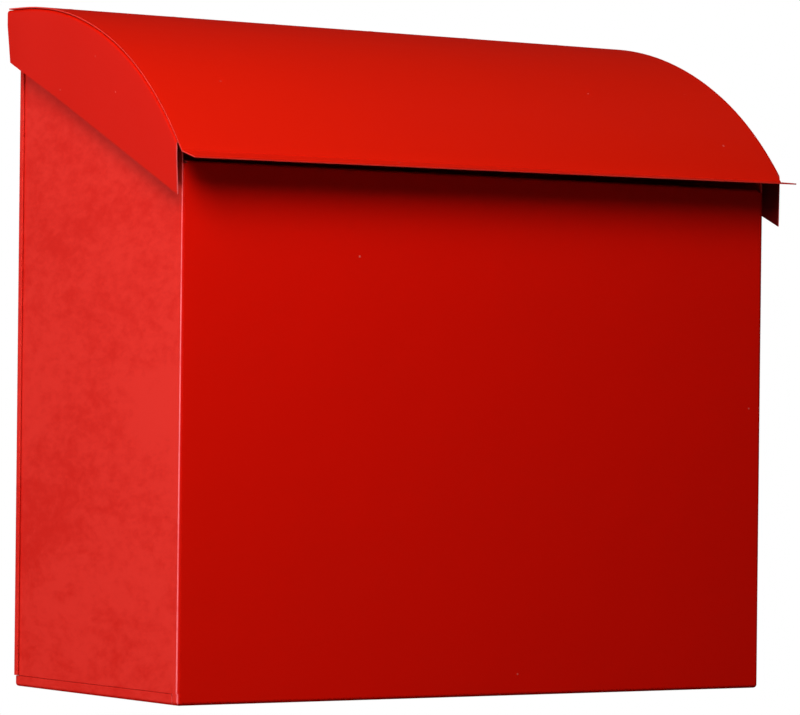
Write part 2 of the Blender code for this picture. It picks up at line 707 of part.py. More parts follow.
def lid_axis():
    """An empty on the hinge's axis, which carries the lid's pieces."""
    empty = bpy.data.objects.new("lid_axis", None)
    bpy.context.scene.collection.objects.link(empty)
    empty.location = (0, AXIS_Y, AXIS_Z)
    return empty


def hang_on(lid, obj):
    """Parent a piece to the lid's axis without moving it."""
    obj.data.transform(Matrix.Translation(-lid.location))
    obj.parent = lid


def main():
    clear_scene()
    lid = lid_axis()
    body_shell()
    back_pan()
    bottom_pan()
    hinge_fixed_leaf()
    hinge_pin()
    fixed_rivets()
    for obj in (lid_panel(), lid_cheek("lid_cheek_left", False), lid_cheek("lid_cheek_right", True)):
        hang_on(lid, obj)
    hinge_lid_leaf(lid)
    lid_rivets(lid)
    lid_buffer("lid_buffer_left", -1, lid)
    lid_buffer("lid_buffer_right", 1, lid)


main()
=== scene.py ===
from math import cos, pi, radians, sin, tan

import bmesh
import bpy
from bpy.props import FloatProperty, FloatVectorProperty, IntProperty, PointerProperty
from mathutils import Matrix, Vector


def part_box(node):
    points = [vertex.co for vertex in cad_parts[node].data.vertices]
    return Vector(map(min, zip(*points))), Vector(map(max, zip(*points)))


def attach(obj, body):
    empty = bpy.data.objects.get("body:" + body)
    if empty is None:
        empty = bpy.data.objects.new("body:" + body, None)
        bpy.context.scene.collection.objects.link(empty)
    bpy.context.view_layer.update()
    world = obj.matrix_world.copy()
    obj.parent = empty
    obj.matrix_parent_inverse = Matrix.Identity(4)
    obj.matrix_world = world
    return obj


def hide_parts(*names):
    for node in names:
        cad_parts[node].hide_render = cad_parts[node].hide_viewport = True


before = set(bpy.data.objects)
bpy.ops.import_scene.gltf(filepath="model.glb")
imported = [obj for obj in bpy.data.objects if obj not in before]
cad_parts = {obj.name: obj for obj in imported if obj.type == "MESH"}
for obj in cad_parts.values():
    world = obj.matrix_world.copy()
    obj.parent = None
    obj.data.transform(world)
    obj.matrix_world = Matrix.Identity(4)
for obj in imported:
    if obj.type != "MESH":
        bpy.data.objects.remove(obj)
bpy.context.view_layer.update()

bl_info = {
    "name": "Wall Mailbox",
    "version": (1, 0, 0),
    "blender": (4, 5, 0),
    "location": "View3D > Sidebar > Mailbox",
    "description": "Builds a wall mailbox folded from sheet steel, with a curved lid on a hinge",
    "category": "Add Mesh",
}

SHELL_LOW, SHELL_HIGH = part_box("body_shell")
BACK_LOW, BACK_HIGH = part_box("back_pan")
PIN_LOW, PIN_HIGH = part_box("hinge_pin")
SIDE_X = SHELL_HIGH.x
FRONT_Y = SHELL_LOW.y
BASE_Z = SHELL_LOW.z
RAIL_TOP_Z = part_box("hinge_fixed_leaf")[0].z
HINGE_AXIS = (PIN_LOW + PIN_HIGH) / 2
UP = Vector((0, 0, 1))
TINY = 0.00002

# the box's blanks and holes
BLANK_TOP_Z = 0.205         # top of the sides before they are cut to the lid's line
BUFFER_ROOM = 0.0022        # between the sides' cut edges and the lid's flanges
RAIL_HALF = 0.1985          # half the width of the hinge's rail
RAIL_DEPTH = 0.022          # from the wall to the rail's front edge
FIXING_X = 0.150            # wall fixings, either side of the middle
SCREW_HEIGHT = 0.055        # round holes above the base
SCREW_RADIUS = 0.0027       # also half the width of a keyhole's slot
KEYHOLE_HEIGHT = 0.265      # round entries above the base
KEYHOLE_RADIUS = 0.005
KEYHOLE_RISE = 0.010        # from the entry up to the slot's end
DRAIN_INSET = 0.045         # drain holes from the tray's corners
DRAIN_RADIUS = 0.003
DRILL_DEPTH = 0.01
ROUND_SIDES = 32            # facets round a hole, the pin or a rivet

# the lid
LID_TOP_Z = 0.2024
LID_REAR_Y = -0.0006
PANEL_REAR_Y = -0.0025      # rear edge of the curved panel between its two ears
EAR_DEPTH = 0.0008          # how much further back the ears reach
EAR_X = 0.2018              # where the ears begin
CHEEK_FRONT = (FRONT_Y - 0.0068, BASE_Z + 0.2818)
CHEEK_REAR = (LID_REAR_Y, BASE_Z + 0.3702)
CHEEK_SLOPE = (CHEEK_REAR[1] - CHEEK_FRONT[1]) / (CHEEK_REAR[0] - CHEEK_FRONT[0])
CHEEK_SPARE = 0.002         # how far a cheek's blank runs past its front edge
CHEEK_BLANK = 0.15          # how far a cheek's blank hangs down before it is cut
RIGHT_TOE = 0.0004          # how far the right cheek's lower edge stands out
REAR_FLANGE = 0.0022        # width of a cheek's flange beside the rail

# hinge, rivets and buffers
LEAF_REAR = 0.0006          # how far a leaf reaches behind its knuckles
ROLL_STEPS = 22
ROLL_ANGLE = radians(288)
RIVET_LIFT = 0.0003         # gap under a rivet's head
RIVET_DOME = 0.78           # rounded share of the head's height
MANDREL_SHARE = 0.40        # flat rim round the mandrel's hole, as a share of the radius
MANDREL_DEPTH = 0.0004
SHANK_RADIUS = 0.0016
TAIL_NECK = 0.0003          # bare shank below the sheets
TAIL_STEP = 0.0002          # length over which the set tail swells
TAIL_SWELL = 1.5
TAIL_LENGTH = 0.0006
TAIL_TIP = 0.7
BUFFER_THICKNESS = 0.0016
BUFFER_RIM = 0.0016         # width of the rim round the buffer's hollow
SOFT_EDGE = 0.0003          # rounding of the pin's ends and of the buffers

# finishes
PAINT_ROUGHNESS = 0.40
PAINT_SPECULAR = 0.11
EDGE_ROUGHNESS = 0.34
EDGE_SPECULAR = 0.4
NIB_HEIGHT = 3.0
DULL_SHARE = 0.62           # brightness of the plating under its dull film
DUST = (0.09, 0.085, 0.08)

# the studio; each light has its name, place, size, power, and whether it shows in the gloss
FLOOR_Z = -1.4
FLOOR_GLOW = 0.62
ROOM_LIGHT = 0.02
LIGHTS = (("Key", (-0.69, -0.88, 0.69), 0.6, 13.4, True),
          ("Left", (-1.9, 0.38, -0.05), 1.0, 17.8, True),
          ("Left Rear", (-1.5, 1.6, 0.5), 1.4, 1.6, True),
          ("Top", (0.8, -0.08, 1.15), 0.5, 4.4, False),
          ("Low", (-0.6, -0.9, -0.9), 0.9, 1.7, False),
          ("Right Rear", (1.9, 1.3, 0.0), 1.2, 22, True))
LIT_POINT = Vector((0, -0.1, 0.05))
CAMERA_PLACE = Vector((-1.2493, -2.1070, -0.0550))
CAMERA_YAW = radians(32.01)
CAMERA_PITCH = radians(1.270)
CAMERA_ROLL = radians(0.492)
CAMERA_LENS = 177.26


# ---------------------------------------------------------------- sizes and colours

def length(name, description, default):
    """A length property in metres."""
    return FloatProperty(name=name, description=description, default=default, min=0.0,
                         precision=5, subtype="DISTANCE", unit="LENGTH")


def angle(name, description, degrees):
    """An angle property, given in degrees."""
    return FloatProperty(name=name, description=description, default=radians(degrees),
                         subtype="ANGLE", unit="ROTATION")


def colour(name, description, rgb):
    """A colour property."""
    return FloatVectorProperty(name=name, description=description, default=rgb, size=3,
                               min=0.0, max=1.0, subtype="COLOR")


class MailboxBoxSizes(bpy.types.PropertyGroup):
    sheet: length("Sheet", "Thickness of the sheet steel", 0.0008)
    gap: length("Gap", "Gap between neighbouring sheets", 0.0003)
    corner_radius: length("Corner Radius", "Outer radius of the upright folds", 0.0022)
    bottom_radius: length("Bottom Radius", "Outer radius of the folds along the bottom", 0.0020)
    front_height: length("Front Height", "Height of the front panel", 0.3012)
    hem_radius: length("Hem Radius", "Outer radius of the front panel's top fold", 0.0016)
    hem_depth: length("Hem Depth", "How far the front panel's top fold runs inwards", 0.012)
    hem_drop: length("Hem Drop", "How far the folded edge turns down", 0.006)
    seam_height: length("Seam Height", "Height of the seam along the bottom of the sides", 0.0062)
    seam_gap: length("Seam Gap", "Width of the seam along the bottom", 0.0004)
    corner_wrap: length("Corner Wrap", "How far the front sheet wraps under the sides", 0.006)
    lap_height: length("Lap Height", "How far the bottom tray laps up inside", 0.016)
    flange_depth: length("Flange Depth", "Depth of the back panel's flanges on the sides", 0.0055)
    flange_top: length("Flange Top", "Height of the back panel's flanges above the base", 0.392)
    swing_depth: length("Swing Depth", "Depth of the relief for the lid's rear edge", 0.0130)
    swing_top: length("Swing Top", "Top of the sides in that relief", 0.1938)
    side_end: length("Side End", "Distance from the wall to the sides' rear edges", 0.0016)
    right_lean: length("Right Lean", "How far the right side leans out at the top", 0.0011)
    edge_round: length("Edge Round", "Rounding of cut sheet edges under the paint", 0.00014)
    bend_steps: IntProperty(name="Bend Steps", description="Facets round each fold", default=7,
                            min=2, max=24)


class MailboxLidSizes(bpy.types.PropertyGroup):
    overhang: length("Overhang", "How far the lid's cheeks stand out from the sides", 0.0078)
    rear_flare: length("Rear Flare", "How far the lid spreads at the wall", 0.0020)
    flare_length: length("Flare Length", "Depth over which the lid spreads", 0.0644)
    flat_depth: length("Flat Depth", "Depth of the flat at the back of the lid", 0.0194)
    rear_slope: angle("Rear Slope", "Slope of the lid's flat", 2.6)
    upper_radius: length("Upper Radius", "Radius of the lid's upper arc", 0.279)
    upper_end: angle("Upper End", "Slope where the upper arc ends", 26.0)
    lower_radius: length("Lower Radius", "Radius of the lid's lower arc", 0.233)
    lower_end: angle("Lower End", "Slope where the lower arc ends", 52.0)
    front_reach: length("Front Reach", "How far the lid's fold stands in front of the box", 0.0126)
    lip_length: length("Lip Length", "Length of the lip along the lid's front edge", 0.0150)
    lip_slope: angle("Lip Slope", "How far the lip points down", 11.0)
    lip_radius: length("Lip Radius", "Radius of the fold above the lip", 0.0012)
    lip_twist: length("Lip Twist", "How far the lip's ends are bent down and up", 0.0013)
    inset_left: length("Left Inset", "Step from the left cheek's face to the panel", 0.0004)
    inset_right: length("Right Inset", "Step from the right cheek's face to the panel", 0.0024)
    cheek_radius: length("Cheek Radius", "Outer radius of the fold along the cheek's top", 0.0020)
    cheek_upright: length("Cheek Upright", "Height of the cheek's upright strip", 0.009)
    cheek_flange: length("Cheek Flange", "Width of the flange under the panel", 0.011)
    right_drop: length("Right Drop", "How much lower the right cheek's front corner is", 0.0028)
    lean_rear: length("Lean Rear", "How far the cheek leans in at the wall", 0.0020)
    lean_front: length("Lean Front", "How far the cheek leans in at the front", 0.0009)
    arc_steps: IntProperty(name="Arc Steps", description="Facets along each of the lid's arcs",
                           default=16, min=4, max=64)


class MailboxHingeSizes(bpy.types.PropertyGroup):
    hinge_length: length("Hinge Length", "Length of the hinge", 0.380)
    knuckles: IntProperty(name="Knuckles", description="Knuckles on both leaves", default=13,
                          min=3, max=31)
    knuckle_gap: length("Knuckle Gap", "Gap between neighbouring knuckles", 0.0004)
    pin_radius: length("Pin Radius", "Radius of the hinge pin", 0.0015)
    leaf_depth: length("Leaf Depth", "Distance from the pin to a leaf's front edge", 0.0150)
    rivet_radius: length("Rivet Radius", "Radius of a rivet's head", 0.0030)
    rivet_height: length("Rivet Height", "Height of a rivet's head", 0.0009)
    rivet_pitch: length("Rivet Pitch", "Distance between rivets", 0.070)
    rivet_depth: length("Rivet Depth", "Distance from the pin to a row of rivets", 0.0085)
    buffer_radius: length("Buffer Radius", "Radius of the rubber buffers", 0.0045)


class MailboxFinish(bpy.types.PropertyGroup):
    paint: colour("Paint", "Red powder coat", (0.77, 0.0045, 0.0))
    paint_lid: colour("Lid Paint", "Powder coat of the lid", (0.68, 0.0090, 0.001))
    paint_cheek: colour("Cheek Paint", "Powder coat of the cheeks", (0.665, 0.0062, 0.0))
    # painted sheen: a paler, pinker copy of the red coat for the faces that face sideways
    side_sheen_paint: colour("Side Sheen Paint", "Paler powder coat on the sides, painted sheen", (0.79, 0.026, 0.0165))
    paint_deep: colour("Deep Paint", "Darker patches of the powder coat", (0.66, 0.008, 0.003))
    # painted highlight: pale pink for the cut sheet edges
    edge_highlight: colour("Edge Highlight", "Paler powder coat on cut sheet edges, a painted highlight", (0.80, 0.13, 0.13))
    # painted highlight: pale pink for the front's left upright fold
    bend: colour("Bend Highlight", "Painted highlight along the front's left corner fold", (1.0, 0.15, 0.17))
    # painted shade: near-black for the cheeks' inner faces, where shadow falls
    inside: colour("Painted Shade Inside", "Near-black painted shade on the cheeks' inner faces", (0.085, 0.002, 0.003))
    # painted highlight: a paler coat for the rims of the lid panel and the back panel
    lid_edge_highlight: colour("Lid Edge", "Paler powder coat on the lid panel's edges, a painted highlight", (0.76, 0.040, 0.026))
    nib: colour("Nib", "Dust nibs in the powder coat", (0.82, 0.20, 0.17))
    zinc: colour("Zinc", "Zinc plated steel", (0.60, 0.59, 0.56))
    aluminium: colour("Aluminium", "Rivet aluminium", (0.76, 0.76, 0.75))
    rubber: colour("Rubber", "Buffer rubber", (0.022, 0.021, 0.020))
    floor: colour("Floor", "Plain pale floor", (0.80, 0.80, 0.80))


def settings():
    """The scene's sizes and colours: box, lid, hinge, finish."""
    scene = bpy.context.scene
    return scene.mailbox_box, scene.mailbox_lid, scene.mailbox_hinge, scene.mailbox_finish


# ---------------------------------------------------------------- modelling helpers

def deselect():
    """Leave edit mode and deselect every object."""
    if bpy.context.mode != "OBJECT":
        bpy.ops.object.mode_set(mode="OBJECT")
    bpy.ops.object.select_all(action="DESELECT")


def take(obj):
    """Make one object the only selected one."""
    deselect()
    obj.select_set(True)
    bpy.context.view_layer.objects.active = obj
    return obj


def opened(name):
    """Name the newest primitive, apply its place and open it in edit mode."""
    obj = bpy.context.active_object
    obj.name = name
    obj.data.name = name
    bpy.ops.object.transform_apply(location=True, rotation=True, scale=True)
    bpy.ops.object.mode_set(mode="EDIT")
    return obj


def add_block(name, low, high):
    """Add a box between two corners."""
    deselect()
    centre = [(a + b) / 2 for a, b in zip(low, high)]
    bpy.ops.mesh.primitive_cube_add(size=1, location=centre,
                                    scale=[b - a for a, b in zip(low, high)])
    return opened(name)


def add_strip(name, x, rear, front, slope):
    """Add a flat strip across the X range, from its rear edge down to its front edge."""
    deselect()
    middle = ((x[0] + x[1]) / 2, (rear[0] + front[0]) / 2, (rear[1] + front[1]) / 2)
    run = (Vector(rear) - Vector(front)).length
    bpy.ops.mesh.primitive_plane_add(size=1, location=middle, rotation=(slope, 0, 0))
    bpy.context.active_object.scale = (x[1] - x[0], run, 1)
    return opened(name)


def add_rod(name, centre, radius, depth, sides, turn=(0, 0, 0)):
    """Add a capped cylinder."""
    deselect()
    bpy.ops.mesh.primitive_cylinder_add(vertices=sides, radius=radius, depth=depth,
                                        location=centre, rotation=turn)
    return opened(name)


def pick(obj, kind, test):
    """Select only the faces, edges or vertices whose middle and direction pass a test."""
    bpy.ops.mesh.select_mode(type=kind)
    bpy.ops.mesh.select_all(action="DESELECT")
    bm = bmesh.from_edit_mesh(obj.data)
    if kind == "FACE":
        for face in bm.faces:
            face.select_set(test(face.calc_center_median(), face.normal))
    elif kind == "EDGE":
        for edge in bm.edges:
            start, end = (vert.co for vert in edge.verts)
            if test((start + end) / 2, (end - start).normalized()):
                edge.select_set(True)
    else:
        for vert in bm.verts:
            if test(vert.co):
                vert.select_set(True)
    bmesh.update_edit_mesh(obj.data)


def places(obj, key):
    """The different values that a key takes over the vertices, to a hundredth of a millimetre."""
    bm = bmesh.from_edit_mesh(obj.data)
    return sorted({round(key(vert.co), 5) for vert in bm.verts})


def near(value, target, reach=TINY):
    """True if two measures agree."""
    return abs(value - target) < reach


def delete():
    """Delete the selected faces."""
    bpy.ops.mesh.delete(type="FACE")


def pull(move):
    """Extrude what is selected by a vector."""
    bpy.ops.mesh.extrude_region_move(TRANSFORM_OT_translate={"value": move})


def shift(move):
    """Move what is selected."""
    bpy.ops.transform.translate(value=move)


def turn_edge(steps, by, y, z):
    """Extrude the selected edges round an axis along X, from the top towards the front."""
    # spin counts its angle the other way round X
    bpy.ops.mesh.spin(steps=steps, angle=-by, center=(0, y, z), axis=(1, 0, 0))


def slice_all(point, normal, drop=False):
    """Cut the whole mesh by a plane, and drop what lies beyond it if asked."""
    bpy.ops.mesh.select_all(action="SELECT")
    bpy.ops.mesh.bisect(plane_co=point, plane_no=normal, clear_outer=drop, threshold=TINY / 4)


def slice_sides(x):
    """Cut the whole mesh upright at the same distance to both sides of the middle."""
    for side in (-1, 1):
        slice_all((side * x, 0, 0), (1, 0, 0))


def round_edges(width, steps):
    """Bevel the selected edges into an arc."""
    bpy.ops.mesh.bevel(offset=width, offset_type="OFFSET", segments=steps, profile=0.5,
                       affect="EDGES", clamp_overlap=False)


def face_outward(obj, direction):
    """Merge doubles and make all faces agree with the widest one, which faces a direction."""
    bpy.ops.mesh.select_mode(type="VERT")
    bpy.ops.mesh.select_all(action="SELECT")
    bpy.ops.mesh.remove_doubles(threshold=TINY / 2)
    bpy.ops.mesh.normals_make_consistent(inside=False)
    bm = bmesh.from_edit_mesh(obj.data)
    widest = max(bm.faces, key=lambda face: face.calc_area())
    if widest.normal.dot(Vector(direction)) < 0:
        bpy.ops.mesh.flip_normals()


def apply(obj, kind, **values):
    """Add a modifier and apply it."""
    take(obj)
    modifier = obj.modifiers.new(kind.lower(), kind)
    for name, value in values.items():
        setattr(modifier, name, value)
    bpy.ops.object.modifier_apply(modifier=modifier.name)
    return obj


def dress(obj, *looks):
    """Give an object its materials, the first one on every face."""
    obj.data.materials.clear()
    for look in looks:
        obj.data.materials.append(look)
    return obj


def smooth(obj, limit=32):
    """Shade smooth with sharp edges kept, and keep wide flats flat."""
    take(obj)
    bpy.ops.object.shade_smooth_by_angle(angle=radians(limit))
    apply(obj, "WEIGHTED_NORMAL", keep_sharp=True, weight=80)


def make_sheet(obj, outward, looks):
    """Turn a skin into painted sheet steel of real thickness with softened cut edges."""
    box = bpy.context.scene.mailbox_box
    face_outward(obj, outward)
    dress(take(obj), *looks)
    # the rims take the second material, on most sheets a paler coat that paints a highlight along the
    # cut edges
    apply(obj, "SOLIDIFY", thickness=box.sheet, offset=-1, use_even_offset=True,
          use_quality_normals=True, material_offset_rim=1)
    apply(obj, "BEVEL", width=box.edge_round, segments=2, limit_method="ANGLE",
          angle_limit=radians(50), use_clamp_overlap=True)
    return obj


def hole(obj, cutter):
    """Cut a cutter out of an object, then remove the cutter."""
    apply(obj, "BOOLEAN", operation="DIFFERENCE", solver="EXACT", object=cutter)
    bpy.data.objects.remove(cutter)


def drill(obj, place, radius, turn=(0, 0, 0)):
    """Cut a round hole through an object."""
    hole(obj, add_rod("drill", place, radius, DRILL_DEPTH, ROUND_SIDES, turn))


def repaint(obj, index, test, rims=False):
    """Change the material of faces by their normal. Cut edges keep theirs unless rims is set."""
    for polygon in obj.data.polygons:
        if (rims or polygon.material_index == 0) and test(polygon.normal):
            polygon.material_index = index


def settle(obj, body, slot, *nodes):
    """Shade a finished piece and hand it to the frame."""
    smooth(obj)
    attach(obj, body)
    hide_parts(*nodes)
    deselect()
    return obj


def copy_of(obj, name):
    """A copy with its own mesh."""
    twin = obj.copy()
    twin.data = obj.data.copy()
    twin.name = name
    twin.data.name = name
    bpy.context.scene.collection.objects.link(twin)
    return twin


def move_mesh(obj, move, tilt=0):
    """Tilt and move a piece within its mesh, so that its object stays at the origin."""
    take(obj)
    obj.rotation_euler = (tilt, 0, 0)
    obj.location = move
    bpy.ops.object.transform_apply(location=True, rotation=True, scale=True)


# ---------------------------------------------------------------- the lid's line

def lid_arcs(lid):
    """The lid's two arcs: radius, slope at the start and end, centre, and the outer line's end."""
    y = LID_REAR_Y - lid.flat_depth
    z = LID_TOP_Z - lid.flat_depth * sin(lid.rear_slope)
    slope = lid.rear_slope
    arcs = []
    for radius, last in ((lid.upper_radius, lid.upper_end), (lid.lower_radius, lid.lower_end)):
        centre = (y + radius * sin(slope), z - radius * cos(slope))
        y -= radius * (sin(last) - sin(slope))
        z -= radius * (cos(slope) - cos(last))
        arcs.append((radius, slope, last, centre, (y, z)))
        slope = last
    return arcs


def lid_front(lid):
    """Where the straight run below the arcs meets the lip's fold."""
    y, z = lid_arcs(lid)[-1][4]
    run = y - (FRONT_Y - lid.front_reach)
    return y - run, z - run * tan(lid.lower_end)


def lid_facets(lid, inset):
    """Planes along the lid's line, moved inwards: a point and the outward normal of each."""
    count = 8
    slope = lid.rear_slope
    made = [(Vector((0, LID_REAR_Y + inset * sin(slope), LID_TOP_Z - inset * cos(slope))),
             Vector((0, -sin(slope), cos(slope))))]
    for radius, first, last, (y, z), _ in lid_arcs(lid):
        for i in range(count):
            slope = first + (last - first) * (i + 0.5) / count
            reach = (radius - inset) * cos((last - first) / count / 2)
            normal = Vector((0, -sin(slope), cos(slope)))
            made.append((Vector((0, y, z)) + normal * reach, normal))
    return made


def flare(lid, y):
    """How far the lid's ends spread at a depth."""
    share = min(max(1 - (LID_REAR_Y - y) / lid.flare_length, 0), 1)
    return lid.rear_flare * share * share * (3 - 2 * share)


def lid_strip(name, x, rear_y, inset):
    """A strip that follows the lid's flat and both arcs, moved inwards, its front edge picked."""
    lid = bpy.context.scene.mailbox_lid
    slope = lid.rear_slope

    def on_flat(y):
        z = LID_TOP_Z - (LID_REAR_Y - y) * sin(slope)
        return y + inset * sin(slope), z - inset * cos(slope)

    rear = on_flat(rear_y)
    front = on_flat(LID_REAR_Y - lid.flat_depth)
    obj = add_strip(name, x, rear, front, slope)
    for i in range(1, 4):
        y = rear[0] + (front[0] - rear[0]) * i / 4
        slice_all((0, y, 0), (0, 1, 0))
    pick(obj, "EDGE", lambda at, way: near(at.y, front[0]) and abs(way.x) > 0.9)
    for _, first, last, centre, _ in lid_arcs(lid):
        turn_edge(lid.arc_steps, last - first, *centre)
    return obj


def move_rows(obj, key, test, amount):
    """Move the picked vertices row by row. Key gives a vertex's row, and amount a row's move."""
    for row in places(obj, key):
        move = amount(row)
        if max(abs(part) for part in move) > TINY / 20:
            pick(obj, "VERT", lambda at: round(key(at), 5) == row and test(at))
            if any(vert.select for vert in bmesh.from_edit_mesh(obj.data).verts):
                shift(move)


def across(at):
    """The key of rows along X."""
    return at.x


def depth_of(at):
    """The key of rows along Y."""
    return at.y


def height_of(at):
    """The key of rows along Z."""
    return at.z


def spread(obj, lid, test):
    """Spread a skin of the lid outwards towards the wall."""
    for side in (-1, 1):
        move_rows(obj, depth_of, lambda at: at.x * side > 0 and test(at),
                  lambda y: (side * flare(lid, y), 0, 0))


def lean_right(obj, box):
    """Let the box's right side lean outwards a little towards the top."""
    move_rows(obj, height_of, lambda at: at.x > SIDE_X - 0.004,
              lambda z: (box.right_lean * min((z - BASE_Z) / box.front_height, 1.0), 0, 0))


# ---------------------------------------------------------------- materials

def new_node(tree, kind, label="", **values):
    """Add a node, set its properties, and return it."""
    node = tree.nodes.new(kind)
    node.label = label
    for name, value in values.items():
        setattr(node, name, value)
    return node


def put(node, **values):
    """Set a node's inputs by name, with _ for spaces."""
    for name, value in values.items():
        node.inputs[name.replace("_", " ")].default_value = value
    return node


def feed(tree, socket, value):
    """Link another node's output to an input, or set the input to a value."""
    if isinstance(value, bpy.types.NodeSocket):
        tree.links.new(value, socket)
    else:
        socket.default_value = value


def calc(tree, operation, first, second, clamp=False):
    """A Math node with numbers or sockets as its inputs. Returns its result."""
    node = new_node(tree, "ShaderNodeMath", operation=operation, use_clamp=clamp)
    feed(tree, node.inputs[0], first)
    feed(tree, node.inputs[1], second)
    return node.outputs[0]


def vary(tree, base, mask, amount):
    """A base number plus a mask times an amount."""
    return calc(tree, "ADD", base, calc(tree, "MULTIPLY", mask, amount))


def band(tree, value, low, high):
    """Map a range of a value to zero to one, clamped and smooth."""
    node = new_node(tree, "ShaderNodeMapRange", interpolation_type="SMOOTHSTEP")
    tree.links.new(value, node.inputs["Value"])
    put(node, From_Min=low, From_Max=high)
    return node.outputs["Result"]


def blend_colour(tree, mask, base, top):
    """Mix two colours, given as sockets or values, by a mask."""
    node = new_node(tree, "ShaderNodeMix", data_type="RGBA")
    tree.links.new(mask, node.inputs["Factor"])
    for socket, value in zip((node.inputs[6], node.inputs[7]), (base, top)):
        feed(tree, socket, value if isinstance(value, bpy.types.NodeSocket) else (*value, 1.0))
    return node.outputs[2]


def object_place(tree, stretch=None):
    """Object coordinates, scaled along each axis if asked."""
    place = new_node(tree, "ShaderNodeTexCoord").outputs["Object"]
    if stretch is None:
        return place
    mapping = put(new_node(tree, "ShaderNodeMapping"), Scale=stretch)
    tree.links.new(place, mapping.inputs["Vector"])
    return mapping.outputs["Vector"]


def noise(tree, place, scale, detail, roughness=0.5):
    """A noise texture, whose scale is a number or a socket. Returns its value."""
    node = new_node(tree, "ShaderNodeTexNoise")
    tree.links.new(place, node.inputs["Vector"])
    feed(tree, node.inputs["Scale"], scale)
    put(node, Detail=detail, Roughness=roughness)
    return node.outputs["Fac"]


def new_group(name, inputs, outputs):
    """A shader node group with float inputs and outputs. Returns the tree and its end nodes."""
    tree = bpy.data.node_groups.new(name, "ShaderNodeTree")
    for label, value in inputs.items():
        socket = tree.interface.new_socket(label, in_out="INPUT", socket_type="NodeSocketFloat")
        socket.default_value = value
    for label in outputs:
        tree.interface.new_socket(label, in_out="OUTPUT", socket_type="NodeSocketFloat")
    return tree, new_node(tree, "NodeGroupInput"), new_node(tree, "NodeGroupOutput")


def orange_peel_group():
    """Fine waviness of a sprayed and baked coat, with slow waves of the sheet under it."""
    tree, given, result = new_group("Orange Peel", {"Scale": 700.0, "Peel": 1.0, "Waves": 1.0},
                                    ["Height"])
    at = object_place(tree)
    peel = noise(tree, at, given.outputs["Scale"], 2.0, 0.45)
    waves = noise(tree, at, 22.0, 1.0)
    high = calc(tree, "MULTIPLY", peel, given.outputs["Peel"])
    low = calc(tree, "MULTIPLY", waves, given.outputs["Waves"])
    tree.links.new(vary(tree, high, low, 14.0), result.inputs["Height"])
    return tree


def blotch_group():
    """Cloudy patches where the coat is thinner or wiped, as a mask."""
    tree, given, result = new_group("Blotches", {"Scale": 60.0, "Amount": 1.0}, ["Mask"])
    at = object_place(tree, (0.6, 0.45, 1.0))
    clouds = noise(tree, at, given.outputs["Scale"], 8.0, 0.72)
    wide = noise(tree, at, 15.0, 3.0)
    mask = band(tree, vary(tree, clouds, wide, 0.9), 0.80, 1.18)
    tree.links.new(calc(tree, "MULTIPLY", mask, given.outputs["Amount"]), result.inputs["Mask"])
    return tree


def nib_group():
    """Rare dust nibs caught in the coat: a mask with a soft edge round each one."""
    tree, given, result = new_group("Dust Nibs", {"Scale": 42.0, "Radius": 0.035, "Share": 0.5},
                                    ["Mask"])
    cells = new_node(tree, "ShaderNodeTexVoronoi")
    tree.links.new(object_place(tree), cells.inputs["Vector"])
    tree.links.new(given.outputs["Scale"], cells.inputs["Scale"])
    split = new_node(tree, "ShaderNodeSeparateColor")
    tree.links.new(cells.outputs["Color"], split.inputs["Color"])
    chosen = calc(tree, "LESS_THAN", split.outputs["Red"], given.outputs["Share"])
    size = calc(tree, "MULTIPLY", given.outputs["Radius"],
                calc(tree, "ADD", split.outputs["Green"], 0.4))
    inside = calc(tree, "SUBTRACT", 1.0, calc(tree, "DIVIDE", cells.outputs["Distance"], size),
                  clamp=True)
    tree.links.new(calc(tree, "MULTIPLY", inside, chosen), result.inputs["Mask"])
    return tree


def rolling_group():
    """Fine lines that rolling and brushing leave along X, as a value round one half."""
    tree, given, result = new_group("Rolling Lines", {"Scale": 90.0, "Amount": 1.0}, ["Value"])
    at = object_place(tree, (0.03, 1.0, 1.0))
    lines = noise(tree, at, given.outputs["Scale"], 4.0, 0.6)
    swing = calc(tree, "MULTIPLY", calc(tree, "SUBTRACT", lines, 0.5), given.outputs["Amount"])
    tree.links.new(calc(tree, "ADD", swing, 0.5), result.inputs["Value"])
    return tree


def place_group(tree, group, **values):
    """Place a node group in a material and set its inputs."""
    node = new_node(tree, "ShaderNodeGroup", group.name)
    node.node_tree = group
    return put(node, **values)


def new_material(name):
    """A material with an empty Principled shader. Returns the material, its tree and the shader."""
    made = bpy.data.materials.new(name)
    made.use_nodes = True
    return made, made.node_tree, made.node_tree.nodes["Principled BSDF"]


def bump(tree, shader, height, distance):
    """Drive a shader's normal by a height."""
    node = put(new_node(tree, "ShaderNodeBump"), Distance=distance)
    tree.links.new(height, node.inputs["Height"])
    tree.links.new(node.outputs["Normal"], shader.inputs["Normal"])


